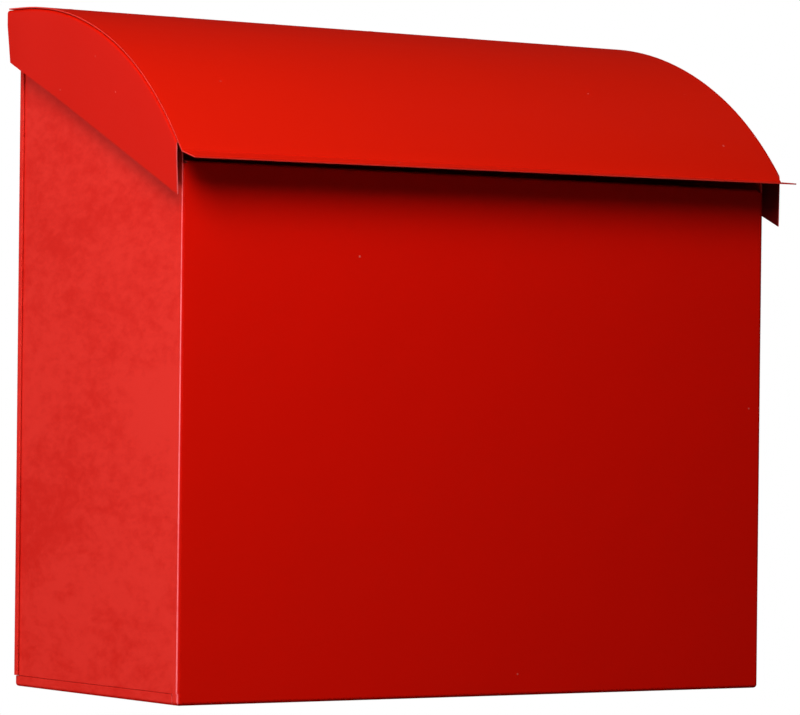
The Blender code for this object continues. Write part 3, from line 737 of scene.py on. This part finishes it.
class Finishes:
    """The mailbox's materials, made once and shared by the operators."""

    def __init__(self, finish):
        self.peel = orange_peel_group()
        self.blotches = blotch_group()
        self.nibs = nib_group()
        self.rolling = rolling_group()
        self.front = self.paint("Front Powder Coat", finish.paint, finish, 0.12, 0.1, 0.7)
        # the sides' coat is a paler copy of the front's: painted sheen, with real mottling on top
        self.side = self.paint("Side Powder Coat With Painted Sheen", finish.side_sheen_paint, finish, 0.7, 0.0, 1.0)
        self.lid = self.paint("Lid Powder Coat", finish.paint_lid, finish, 0.2, 0.5, 0.8)
        self.cheek = self.paint("Cheek Powder Coat", finish.paint_cheek, finish, 0.2, 0.0, 0.8)
        # painted shade for the cheeks' inner faces
        self.inside = self.paint("Painted Shade Inside Cheeks", finish.inside, finish, 0.1, 0.0, 1.0)
        # the next three colours are painted highlights along cut edges and the front's left fold
        self.edge = self.cut_edge("Painted Highlight On Cut Edges", finish.edge_highlight, finish)
        # painted highlight along the front's left upright fold
        self.bend = self.cut_edge("Painted Highlight On Corner Fold", finish.bend, finish)
        self.lid_edge_highlight = self.cut_edge("Painted Highlight On Lid Edges", finish.lid_edge_highlight, finish)
        self.zinc = self.plated("Zinc Plated Steel", finish.zinc, 0.36)
        self.aluminium = self.plated("Rivet Aluminium", finish.aluminium, 0.30)
        self.rubber = self.moulded_rubber("Buffer Rubber", finish.rubber)

    def paint(self, name, rgb, finish, blotch, lines, peel):
        """Red powder coat with mottling, rolling lines and peel in given amounts, and nibs."""
        made, tree, shader = new_material(name)
        clouds = place_group(tree, self.blotches, Scale=180.0, Amount=blotch).outputs["Mask"]
        nibs = place_group(tree, self.nibs).outputs["Mask"]
        streaks = place_group(tree, self.rolling, Scale=120.0, Amount=lines).outputs["Value"]
        height = place_group(tree, self.peel, Peel=peel).outputs["Height"]
        base = blend_colour(tree, clouds, rgb, finish.paint_deep)
        base = blend_colour(tree, nibs, base, finish.nib)
        tree.links.new(base, shader.inputs["Base Color"])
        rough = vary(tree, PAINT_ROUGHNESS, clouds, -0.10)
        tree.links.new(vary(tree, rough, streaks, 0.10), shader.inputs["Roughness"])
        shader.inputs["Specular IOR Level"].default_value = PAINT_SPECULAR
        bump(tree, shader, vary(tree, height, nibs, NIB_HEIGHT), 0.00003)
        return made

    def cut_edge(self, name, rgb, finish):
        """Paler powder coat for a cut edge or a fold: a painted highlight along it."""
        made, tree, shader = new_material(name)
        clouds = place_group(tree, self.blotches, Scale=240.0, Amount=0.5).outputs["Mask"]
        height = place_group(tree, self.peel, Scale=1500.0).outputs["Height"]
        tree.links.new(blend_colour(tree, clouds, rgb, finish.paint), shader.inputs["Base Color"])
        tree.links.new(vary(tree, EDGE_ROUGHNESS, clouds, 0.1), shader.inputs["Roughness"])
        shader.inputs["Specular IOR Level"].default_value = EDGE_SPECULAR
        bump(tree, shader, height, 0.00002)
        return made

    def plated(self, name, rgb, roughness):
        """Bright metal with rolling lines and a dull cloudy film."""
        made, tree, shader = new_material(name)
        lines = place_group(tree, self.rolling, Scale=260.0).outputs["Value"]
        film = place_group(tree, self.blotches, Scale=180.0, Amount=0.6).outputs["Mask"]
        dull = [part * DULL_SHARE for part in rgb]
        tree.links.new(blend_colour(tree, film, rgb, dull), shader.inputs["Base Color"])
        shader.inputs["Metallic"].default_value = 1.0
        rough = vary(tree, roughness, film, 0.22)
        tree.links.new(vary(tree, rough, lines, 0.12), shader.inputs["Roughness"])
        bump(tree, shader, lines, 0.00004)
        return made

    def moulded_rubber(self, name, rgb):
        """Black rubber with a fine matt grain and a little dust."""
        made, tree, shader = new_material(name)
        dust = place_group(tree, self.blotches, Scale=300.0, Amount=0.35).outputs["Mask"]
        grain = place_group(tree, self.peel, Scale=2600.0, Waves=0.0).outputs["Height"]
        tree.links.new(blend_colour(tree, dust, rgb, DUST), shader.inputs["Base Color"])
        tree.links.new(vary(tree, 0.62, grain, 0.3), shader.inputs["Roughness"])
        bump(tree, shader, grain, 0.00006)
        return made


LOOKS = {}


def looks():
    """The shared materials, made on first use."""
    if "all" not in LOOKS:
        LOOKS["all"] = Finishes(bpy.context.scene.mailbox_finish)
    return LOOKS["all"]


# ---------------------------------------------------------------- the box

class MAILBOX_OT_shell(bpy.types.Operator):
    """Fold the front and both sides from one sheet"""
    bl_idname = "mailbox.shell"
    bl_label = "Folded Shell"

    def execute(self, context):
        box, lid, _, _ = settings()
        seam_z = BASE_Z + box.seam_height + box.seam_gap
        bend_z = BASE_Z + box.front_height - box.hem_radius
        flat_x = SIDE_X - box.corner_radius
        swing_y = -box.swing_depth
        obj = add_block("shell", (-SIDE_X, FRONT_Y, BASE_Z), (SIDE_X, -box.side_end, BLANK_TOP_Z))
        pick(obj, "FACE", lambda at, normal: normal.y > 0.9 or normal.z > 0.9)
        delete()
        for point, normal in lid_facets(lid, 2 * box.sheet + box.gap + BUFFER_ROOM)[1:]:
            slice_all(point, normal, drop=True)
        slice_all((0, 0, SHELL_HIGH.z), UP, drop=True)
        slice_all((0, swing_y, 0), (0, 1, 0))
        slice_all((0, 0, box.swing_top), UP)
        pick(obj, "FACE", lambda at, normal: at.y > swing_y and at.z > box.swing_top)
        delete()
        slice_all((0, 0, seam_z), UP)
        wrap_y = FRONT_Y + box.corner_wrap
        slice_all((0, wrap_y, 0), (0, 1, 0))
        pick(obj, "FACE", lambda at, normal: at.z < seam_z and at.y > wrap_y)
        delete()
        pick(obj, "EDGE", lambda at, way: near(at.z, BASE_Z) and at.y < wrap_y - TINY
             and (near(at.y, FRONT_Y) or near(abs(at.x), SIDE_X))
             or near(at.y, FRONT_Y) and near(abs(at.x), SIDE_X) and abs(way.z) > 0.9)
        round_edges(box.corner_radius, box.bend_steps)
        slice_all((0, 0, bend_z), UP)
        pick(obj, "FACE", lambda at, normal: at.z > bend_z and abs(normal.x) < 0.99)
        delete()
        relief_x = flat_x - box.sheet
        slice_sides(relief_x)
        pick(obj, "EDGE", lambda at, way: near(at.z, bend_z) and near(at.y, FRONT_Y)
             and abs(at.x) < relief_x and abs(way.x) > 0.9)
        turn_edge(box.bend_steps, -pi / 2, FRONT_Y + box.hem_radius, bend_z)
        pull((0, box.hem_depth - box.hem_radius, 0))
        pull((0, 0, -box.hem_drop))
        lean_right(obj, box)
        paint = looks()
        make_sheet(obj, (0, -1, 0), (paint.front, paint.edge, paint.side, paint.bend))
        # the sideways faces take the paler side coat: painted sheen with real mottling
        repaint(obj, 2, lambda normal: abs(normal.x) > 0.9)
        # painted highlight: the middle facets of the front's left upright fold take the pale pink
        # fold colour
        repaint(obj, 3, lambda normal: normal.x < -0.6 and normal.y < -0.42, rims=True)
        settle(obj, "box", "red_paint", "body_shell")
        return {"FINISHED"}


class MAILBOX_OT_back(bpy.types.Operator):
    """Form the back panel, with flanges round the sides and the hinge's rail on top"""
    bl_idname = "mailbox.back"
    bl_label = "Back Panel"

    def execute(self, context):
        box = context.scene.mailbox_box
        bend_z = RAIL_TOP_Z - box.gap - box.hem_radius
        top_z = BASE_Z + box.flange_top
        foot_z = BASE_Z + box.seam_height + box.seam_gap
        obj = add_block("back_panel", (BACK_LOW.x, -box.flange_depth, foot_z),
                        (BACK_HIGH.x, 0, top_z))
        pick(obj, "FACE", lambda at, normal: normal.y < -0.9 or abs(normal.z) > 0.9)
        delete()
        pick(obj, "EDGE", lambda at, way: near(at.y, 0) and abs(way.z) > 0.9)
        round_edges(box.corner_radius, box.bend_steps)
        slice_sides(RAIL_HALF)
        pick(obj, "EDGE", lambda at, way: near(at.z, top_z) and near(at.y, 0)
             and abs(at.x) < RAIL_HALF and abs(way.x) > 0.9)
        pull((0, 0, bend_z - top_z))
        turn_edge(box.bend_steps, pi / 2, -box.hem_radius, bend_z)
        pull((0, -RAIL_DEPTH + box.hem_radius, 0))
        lean_right(obj, box)
        paint = looks()
        # the rims take the paler lid edge colour, a painted highlight
        make_sheet(obj, (0, 1, 0), (paint.front, paint.lid_edge_highlight, paint.side))
        # the sideways faces take the paler side coat: painted sheen with real mottling
        repaint(obj, 2, lambda normal: abs(normal.x) > 0.9)
        for x in (-FIXING_X, FIXING_X):
            self.keyhole(obj, x, BASE_Z + KEYHOLE_HEIGHT)
            drill(obj, (x, 0, BASE_Z + SCREW_HEIGHT), SCREW_RADIUS, (pi / 2, 0, 0))
        settle(obj, "box", "red_paint", "back_pan")
        return {"FINISHED"}

    def keyhole(self, obj, x, z):
        """Cut a keyhole: a round entry with a narrower slot above it."""
        reach = DRILL_DEPTH / 2
        end = z + KEYHOLE_RISE
        drill(obj, (x, 0, z), KEYHOLE_RADIUS, (pi / 2, 0, 0))
        hole(obj, add_block("slot", (x - SCREW_RADIUS, -reach, z), (x + SCREW_RADIUS, reach, end)))
        drill(obj, (x, 0, end), SCREW_RADIUS, (pi / 2, 0, 0))


class MAILBOX_OT_bottom(bpy.types.Operator):
    """Press the bottom tray, whose stepped edge laps inside the sides"""
    bl_idname = "mailbox.bottom"
    bl_label = "Bottom Tray"

    def execute(self, context):
        box = context.scene.mailbox_box
        front_y = FRONT_Y + box.corner_wrap + box.seam_gap
        top_z = BASE_Z + box.seam_height
        obj = add_block("bottom_tray", (-SIDE_X, front_y, BASE_Z), (SIDE_X, 0, top_z))
        pick(obj, "FACE", lambda at, normal: normal.y < -0.9 or normal.z > 0.9)
        delete()
        pick(obj, "EDGE", lambda at, way: (near(at.z, BASE_Z) and at.y > front_y + TINY)
             or (near(at.y, 0) and near(abs(at.x), SIDE_X)))
        round_edges(box.bottom_radius, box.bend_steps)
        pick(obj, "EDGE", lambda at, way: near(at.z, top_z))
        lap = box.sheet + box.gap
        pull((0, 0, 0))
        depth = -front_y
        bpy.ops.transform.resize(value=((SIDE_X - lap) / SIDE_X, (depth - lap) / depth, 1),
                                 center_override=(0, front_y, top_z))
        pull((0, 0, box.lap_height - box.seam_height))
        paint = looks()
        make_sheet(obj, (0, 0, -1), (paint.front, paint.edge, paint.side))
        # the sideways faces take the paler side coat: painted sheen with real mottling
        repaint(obj, 2, lambda normal: abs(normal.x) > 0.9)
        for x in (-SIDE_X + DRAIN_INSET, SIDE_X - DRAIN_INSET):
            for y in (FRONT_Y + DRAIN_INSET, -DRAIN_INSET):
                drill(obj, (x, y, BASE_Z), DRAIN_RADIUS)
        settle(obj, "box", "red_paint", "bottom_pan")
        return {"FINISHED"}


# ---------------------------------------------------------------- the lid

class MAILBOX_OT_lid_panel(bpy.types.Operator):
    """Roll the lid's curved panel and fold its lip"""
    bl_idname = "mailbox.lid_panel"
    bl_label = "Lid Panel"

    def execute(self, context):
        box, lid, _, _ = settings()
        ends = (-SIDE_X - lid.overhang + lid.inset_left, SIDE_X + lid.overhang - lid.inset_right)
        obj = lid_strip("curved_panel", ends, PANEL_REAR_Y, 0)
        y, z = lid_front(lid)
        turn = lid.lower_end - lid.lip_slope
        back = lid.lip_radius * tan(turn / 2)
        fold = (y + back * cos(lid.lower_end), z + back * sin(lid.lower_end))
        start = lid_arcs(lid)[-1][4]
        pull((0, fold[0] - start[0], fold[1] - start[1]))
        turn_edge(box.bend_steps, -turn, fold[0] - lid.lip_radius * sin(lid.lower_end),
                  fold[1] + lid.lip_radius * cos(lid.lower_end))
        pull((0, -lid.lip_length * cos(lid.lip_slope), -lid.lip_length * sin(lid.lip_slope)))
        slice_sides(EAR_X)
        pick(obj, "EDGE", lambda at, way: at.y > PANEL_REAR_Y - 0.0001 and abs(at.x) > EAR_X
             and abs(way.x) > 0.9)
        pull((0, EAR_DEPTH, 0))
        spread(obj, lid, lambda at: near(at.x, ends[0]) or near(at.x, ends[1]))
        for i in range(-3, 4):
            slice_all((EAR_X * i / 4, 0, 0), (1, 0, 0))
        self.bend_lip(obj, lid)
        paint = looks()
        # the rims take the paler lid edge colour, a painted highlight along the lid's edges
        make_sheet(obj, (0, 0, 1), (paint.lid, paint.lid_edge_highlight))
        settle(obj, "lid", "red_paint", "lid_panel")
        return {"FINISHED"}

    def bend_lip(self, obj, lid):
        """Bend the lip's tip a little, down at the left end and up at the right."""
        tip = places(obj, depth_of)[0]
        move_rows(obj, across, lambda at: near(at.y, tip, 0.0001),
                  lambda x: (0, 0, lid.lip_twist * x / SIDE_X))


class MAILBOX_OT_cheeks(bpy.types.Operator):
    """Fold the lid's two side plates"""
    bl_idname = "mailbox.cheeks"
    bl_label = "Lid Cheeks"

    def execute(self, context):
        box, lid, _, _ = settings()
        outer = -SIDE_X - lid.overhang
        inset = box.sheet + box.gap
        run = CHEEK_FRONT[0] - lid_arcs(lid)[-1][4][0] - CHEEK_SPARE
        fall = (0, CHEEK_REAR[1] - CHEEK_FRONT[1], CHEEK_FRONT[0] - CHEEK_REAR[0])
        obj = lid_strip("cheek_left", (outer, outer + lid.cheek_flange), LID_REAR_Y, inset)
        pull((0, run, run * tan(lid.lower_end)))
        pick(obj, "EDGE", lambda at, way: near(at.x, outer) and abs(way.x) < 0.5)
        pull((0, 0, -lid.cheek_upright))
        pull((0, 0, -CHEEK_BLANK))
        slice_all((0, *CHEEK_REAR), fall, drop=True)
        slice_all((0, CHEEK_FRONT[0], 0), (0, -1, 0), drop=True)
        slice_all((0, LID_REAR_Y, 0), (0, 1, 0), drop=True)
        move_rows(obj, depth_of, lambda at: self.on_edge(at) and near(at.x, outer),
                  lambda y: (lid.lean_front + (lid.lean_rear - lid.lean_front) * self.share(y), 0, 0))
        pick(obj, "EDGE", lambda at, way: near(at.x, outer) and abs(way.x) < 0.5
             and self.on_lid_line(at, lid, inset))
        round_edges(lid.cheek_radius, box.bend_steps)
        self.narrow_rear(obj, outer + lid.cheek_radius + REAR_FLANGE)
        spread(obj, lid, lambda at: True)
        twin = copy_of(take(obj), "cheek_right")
        take(twin)
        twin.scale = (-1, 1, 1)
        twin.location.x = box.right_lean
        bpy.ops.object.transform_apply(location=True, rotation=True, scale=True)
        bpy.ops.object.mode_set(mode="EDIT")
        move_rows(twin, depth_of, self.on_edge,
                  lambda y: (RIGHT_TOE, 0, -lid.right_drop * (1 - self.share(y))))
        for piece, side, node in ((obj, -1, "lid_cheek_left"), (twin, 1, "lid_cheek_right")):
            take(piece)
            bpy.ops.object.mode_set(mode="EDIT")
            make_sheet(piece, (side, 0, 0), (looks().cheek, looks().edge, looks().inside))
            # painted shade: the inner faces of each cheek take the near-black inside colour
            repaint(piece, 2, lambda normal: normal.x * side < -0.5)
            settle(piece, "lid", "red_paint", node)
        return {"FINISHED"}

    def on_edge(self, at):
        """True on the sloping lower edge."""
        return near(at.z, CHEEK_FRONT[1] + (at.y - CHEEK_FRONT[0]) * CHEEK_SLOPE, 0.0002)

    def share(self, y):
        """How far along the lower edge a depth lies, from its front to its rear."""
        return min(max((y - CHEEK_FRONT[0]) / (CHEEK_REAR[0] - CHEEK_FRONT[0]), 0), 1)

    def on_lid_line(self, at, lid, inset):
        """True on the fold between the cheek and its flange."""
        return max((at - point).dot(normal) for point, normal in lid_facets(lid, inset)) > -0.0006

    def narrow_rear(self, obj, limit):
        """Narrow the flange at the back, where the hinge's rail passes."""
        slice_all((0, -RAIL_DEPTH, 0), (0, 1, 0))
        slice_all((limit, 0, 0), (1, 0, 0))
        pick(obj, "FACE", lambda at, normal: at.y > -RAIL_DEPTH and at.x > limit)
        delete()


# ---------------------------------------------------------------- hinge, rivets and buffers

def leaf(name, first, looks_used):
    """A hinge leaf: a plate whose rear edge is rolled into every second knuckle round the pin."""
    box, lid, hinge, _ = settings()
    _, axis_y, axis_z = HINGE_AXIS
    outer = hinge.pin_radius + box.gap + box.sheet
    low = axis_z - outer
    half = hinge.hinge_length / 2
    rear = axis_y - outer - LEAF_REAR
    pitch = hinge.hinge_length / hinge.knuckles
    obj = add_strip(name, (-half, half), (rear, low), (axis_y - hinge.leaf_depth, low), 0)
    for i in range(1, hinge.knuckles):
        for side in (-1, 1):
            slice_all((i * pitch - half + side * hinge.knuckle_gap / 2, 0, 0), (1, 0, 0))

    def in_knuckle(x):
        turn, place = divmod((x + half) / pitch, 1)
        edge = hinge.knuckle_gap / pitch
        return int(turn) % 2 == first and edge < place < 1 - edge

    pick(obj, "EDGE", lambda at, way: near(at.y, rear) and abs(way.x) > 0.9 and in_knuckle(at.x))
    pull((0, axis_y - rear, 0))
    turn_edge(ROLL_STEPS, ROLL_ANGLE, axis_y, axis_z)
    if first:
        bpy.ops.mesh.select_all(action="SELECT")
        bpy.ops.transform.resize(value=(1, 1, -1), center_override=(0, axis_y, axis_z))
        bpy.ops.transform.rotate(value=-lid.rear_slope, orient_axis="X",
                                 center_override=(0, axis_y, axis_z))
    make_sheet(obj, (0, 0, 1 if first else -1), looks_used)
    return obj


class MAILBOX_OT_hinge(bpy.types.Operator):
    """Roll both leaves of the hinge and add its pin"""
    bl_idname = "mailbox.hinge"
    bl_label = "Hinge"

    def execute(self, context):
        zinc = looks().zinc
        fixed = leaf("hinge_lower_leaf", 0, (zinc, zinc))
        settle(fixed, "box", "zinc_steel", "hinge_fixed_leaf")
        moving = leaf("hinge_upper_leaf", 1, (zinc, zinc))
        settle(moving, "lid", "zinc_steel", "hinge_lid_leaf")
        pin = add_rod("pin", HINGE_AXIS, context.scene.mailbox_hinge.pin_radius,
                      PIN_HIGH.x - PIN_LOW.x, ROUND_SIDES, (0, pi / 2, 0))
        pick(pin, "FACE", lambda at, normal: abs(normal.x) > 0.9)
        bpy.ops.mesh.bevel(offset=SOFT_EDGE, segments=3, affect="EDGES")
        dress(take(pin), zinc)
        settle(pin, "box", "zinc_steel", "hinge_pin")
        return {"FINISHED"}


def rivet(name, look, grip):
    """A blind rivet at the origin: a domed head with the mandrel's hole, a shank and a set tail."""
    hinge = bpy.context.scene.mailbox_hinge
    height = hinge.rivet_height
    top = RIVET_LIFT + height
    obj = add_rod(name, (0, 0, RIVET_LIFT + height / 2), hinge.rivet_radius, height, ROUND_SIDES)
    pick(obj, "EDGE", lambda at, way: near(at.z, top) and abs(way.z) < 0.1)
    bpy.ops.mesh.bevel(offset=height * RIVET_DOME, segments=6, affect="EDGES",
                       clamp_overlap=False)
    pick(obj, "FACE", lambda at, normal: normal.z > 0.95 and near(at.z, top))
    bpy.ops.mesh.inset(thickness=hinge.rivet_radius * MANDREL_SHARE)
    pull((0, 0, -MANDREL_DEPTH))
    pick(obj, "FACE", lambda at, normal: normal.z < -0.95 and near(at.z, RIVET_LIFT))
    bpy.ops.mesh.inset(thickness=hinge.rivet_radius - SHANK_RADIUS)
    pull((0, 0, -RIVET_LIFT - grip - TAIL_NECK))
    pull((0, 0, -TAIL_STEP))
    bpy.ops.transform.resize(value=(TAIL_SWELL, TAIL_SWELL, 1), center_override=(0, 0, 0))
    pull((0, 0, -TAIL_LENGTH))
    bpy.ops.transform.resize(value=(TAIL_TIP, TAIL_TIP, 1), center_override=(0, 0, 0))
    dress(take(obj), look)
    return obj


class MAILBOX_OT_rivets(bpy.types.Operator):
    """Set the two rows of rivets along the hinge"""
    bl_idname = "mailbox.rivets"
    bl_label = "Rivets"

    def execute(self, context):
        box, lid, hinge, _ = settings()
        _, axis_y, axis_z = HINGE_AXIS
        outer = hinge.pin_radius + box.gap + box.sheet
        grip = 2 * box.sheet + box.gap
        bare = rivet("rivet_bare", looks().aluminium, grip)
        move_mesh(bare, (0, axis_y - hinge.rivet_depth, axis_z - outer + box.sheet))
        self.row(bare, 5, "lower_rivet_", "fixed_leaf_rivet_", "box", "rivet_aluminium", hinge)
        painted = rivet("rivet_painted", looks().lid, grip)
        tilt = Matrix.Rotation(lid.rear_slope, 4, "X")
        spot = tilt @ Vector((0, -hinge.rivet_depth, outer + box.gap + box.sheet))
        move_mesh(painted, (0, axis_y + spot.y, axis_z + spot.z), lid.rear_slope)
        self.row(painted, 6, "upper_rivet_", "lid_leaf_rivet_", "lid", "red_paint", hinge)
        return {"FINISHED"}

    def row(self, first, count, name, node, body, slot, hinge):
        """Copy one rivet along the hinge, then remove the first."""
        for i in range(count):
            piece = copy_of(first, name + str(i + 1))
            move_mesh(piece, ((i - (count - 1) / 2) * hinge.rivet_pitch, 0, 0))
            settle(piece, body, slot, node + str(i + 1))
        bpy.data.objects.remove(first)


class MAILBOX_OT_buffers(bpy.types.Operator):
    """Stick the two rubber buffers under the lid's flanges"""
    bl_idname = "mailbox.buffers"
    bl_label = "Buffers"

    def execute(self, context):
        lid, hinge = context.scene.mailbox_lid, context.scene.mailbox_hinge
        half = BUFFER_THICKNESS / 2
        for name in ("left", "right"):
            node = "lid_buffer_" + name
            low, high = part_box(node)
            obj = add_rod("buffer_" + name, (0, 0, 0), hinge.buffer_radius, BUFFER_THICKNESS, 40)
            pick(obj, "EDGE", lambda at, way: near(abs(at.z), half) and abs(way.z) < 0.1)
            bpy.ops.mesh.bevel(offset=SOFT_EDGE, segments=3, affect="EDGES")
            pick(obj, "FACE", lambda at, normal: normal.z < -0.95 and near(at.z, -half, 0.0001))
            bpy.ops.mesh.inset(thickness=BUFFER_RIM)
            pull((0, 0, SOFT_EDGE))
            move_mesh(obj, (low + high) / 2, self.slope_at((low + high) / 2, lid))
            dress(obj, looks().rubber)
            settle(obj, "lid", "buffer_rubber", node)
        return {"FINISHED"}

    def slope_at(self, at, lid):
        """Slope of the lid's line above a point."""
        plane = max(lid_facets(lid, 0), key=lambda facet: (at - facet[0]).dot(facet[1]))
        return UP.rotation_difference(plane[1]).to_euler().x


# ---------------------------------------------------------------- stage

class MAILBOX_OT_stage(bpy.types.Operator):
    """Set the floor, the studio light and the camera"""
    bl_idname = "mailbox.stage"
    bl_label = "Stage"

    def execute(self, context):
        scene = context.scene
        scene.view_settings.view_transform = "Standard"
        self.floor(scene.mailbox_finish)
        self.world(scene)
        self.camera(scene)
        for light in LIGHTS:
            self.area(*light)
        return {"FINISHED"}

    def floor(self, finish):
        """A plain pale floor that glows softly, and neither tints the box nor mirrors in it."""
        obj = add_block("floor", (-10, -10, FLOOR_Z - 0.02), (10, 10, FLOOR_Z))
        pick(obj, "FACE", lambda at, normal: normal.z > 0.9)
        bpy.ops.mesh.inset(thickness=0.05)
        made, tree, shader = new_material("Pale Floor")
        cloud = noise(tree, object_place(tree), 0.4, 2.0)
        pale = [part * 0.99 for part in finish.floor]
        base = blend_colour(tree, cloud, finish.floor, pale)
        tree.links.new(base, shader.inputs["Base Color"])
        shader.inputs["Emission Color"].default_value = (1, 1, 1, 1)
        shader.inputs["Emission Strength"].default_value = FLOOR_GLOW
        shader.inputs["Roughness"].default_value = 0.9
        shader.inputs["Specular IOR Level"].default_value = 0.0
        dress(take(obj), made)
        obj.visible_diffuse = False
        obj.visible_glossy = False

    def world(self, scene):
        """White behind the box, with only a faint light from all round."""
        made = bpy.data.worlds.new("Studio")
        scene.world = made
        made.use_nodes = True
        tree = made.node_tree
        room = put(tree.nodes["Background"], Color=(1, 1, 1, 1), Strength=ROOM_LIGHT)
        seen = put(new_node(tree, "ShaderNodeBackground"), Color=(1, 1, 1, 1), Strength=1.0)
        ray = new_node(tree, "ShaderNodeLightPath")
        mix = new_node(tree, "ShaderNodeMixShader")
        tree.links.new(ray.outputs["Is Camera Ray"], mix.inputs["Fac"])
        tree.links.new(room.outputs["Background"], mix.inputs[1])
        tree.links.new(seen.outputs["Background"], mix.inputs[2])
        tree.links.new(mix.outputs["Shader"], tree.nodes["World Output"].inputs["Surface"])

    def camera(self, scene):
        """A long lens, turned to see the front and the left side."""
        ahead = Vector((sin(CAMERA_YAW), cos(CAMERA_YAW), 0))
        forward = Vector((ahead.x * cos(CAMERA_PITCH), ahead.y * cos(CAMERA_PITCH),
                          sin(CAMERA_PITCH)))
        level = Vector((cos(CAMERA_YAW), -sin(CAMERA_YAW), 0))
        above = level.cross(forward)
        right = cos(CAMERA_ROLL) * level + sin(CAMERA_ROLL) * above
        up = -sin(CAMERA_ROLL) * level + cos(CAMERA_ROLL) * above
        lens = bpy.data.cameras.new("Camera")
        lens.sensor_width = 36
        lens.lens = CAMERA_LENS
        lens.clip_end = 200
        obj = bpy.data.objects.new("Camera", lens)
        scene.collection.objects.link(obj)
        pose = Matrix((right, up, -forward)).transposed().to_4x4()
        pose.translation = CAMERA_PLACE
        obj.matrix_world = pose
        scene.camera = obj

    def area(self, name, place, size, power, glossy):
        """A square soft light that faces the box."""
        light = bpy.data.lights.new(name, "AREA")
        light.size = size
        light.energy = power
        obj = bpy.data.objects.new(name, light)
        bpy.context.scene.collection.objects.link(obj)
        obj.visible_glossy = glossy
        obj.location = place
        obj.rotation_euler = (LIT_POINT - Vector(place)).to_track_quat("-Z", "Y").to_euler()


class MAILBOX_PT_panel(bpy.types.Panel):
    """Sizes, colours and building steps of the mailbox"""
    bl_idname = "MAILBOX_PT_panel"
    bl_label = "Wall Mailbox"
    bl_space_type = "VIEW_3D"
    bl_region_type = "UI"
    bl_category = "Mailbox"

    def draw(self, context):
        scene = context.scene
        for group in (scene.mailbox_box, scene.mailbox_lid, scene.mailbox_hinge,
                      scene.mailbox_finish):
            box = self.layout.box()
            for name in group.__annotations__:
                box.prop(group, name)
        for operator in OPERATORS:
            self.layout.operator(operator.bl_idname)


OPERATORS = (MAILBOX_OT_shell, MAILBOX_OT_back, MAILBOX_OT_bottom, MAILBOX_OT_lid_panel,
             MAILBOX_OT_cheeks, MAILBOX_OT_hinge, MAILBOX_OT_rivets, MAILBOX_OT_buffers,
             MAILBOX_OT_stage)
GROUPS = {"mailbox_box": MailboxBoxSizes, "mailbox_lid": MailboxLidSizes,
          "mailbox_hinge": MailboxHingeSizes, "mailbox_finish": MailboxFinish}


def register():
    """Register the sizes, the operators and the panel."""
    for group in GROUPS.values():
        bpy.utils.register_class(group)
    for name, group in GROUPS.items():
        setattr(bpy.types.Scene, name, PointerProperty(type=group))
    for operator in OPERATORS:
        bpy.utils.register_class(operator)
    bpy.utils.register_class(MAILBOX_PT_panel)


def unregister():
    """Undo what register did, in reverse."""
    bpy.utils.unregister_class(MAILBOX_PT_panel)
    for operator in reversed(OPERATORS):
        bpy.utils.unregister_class(operator)
    for name in GROUPS:
        delattr(bpy.types.Scene, name)
    for group in reversed(GROUPS.values()):
        bpy.utils.unregister_class(group)


def main():
    """Register, build every piece in order, then set the stage."""
    register()
    bpy.ops.mailbox.shell()
    bpy.ops.mailbox.back()
    bpy.ops.mailbox.bottom()
    bpy.ops.mailbox.lid_panel()
    bpy.ops.mailbox.cheeks()
    bpy.ops.mailbox.hinge()
    bpy.ops.mailbox.rivets()
    bpy.ops.mailbox.buffers()
    bpy.ops.mailbox.stage()


if __name__ == "__main__":
    main()
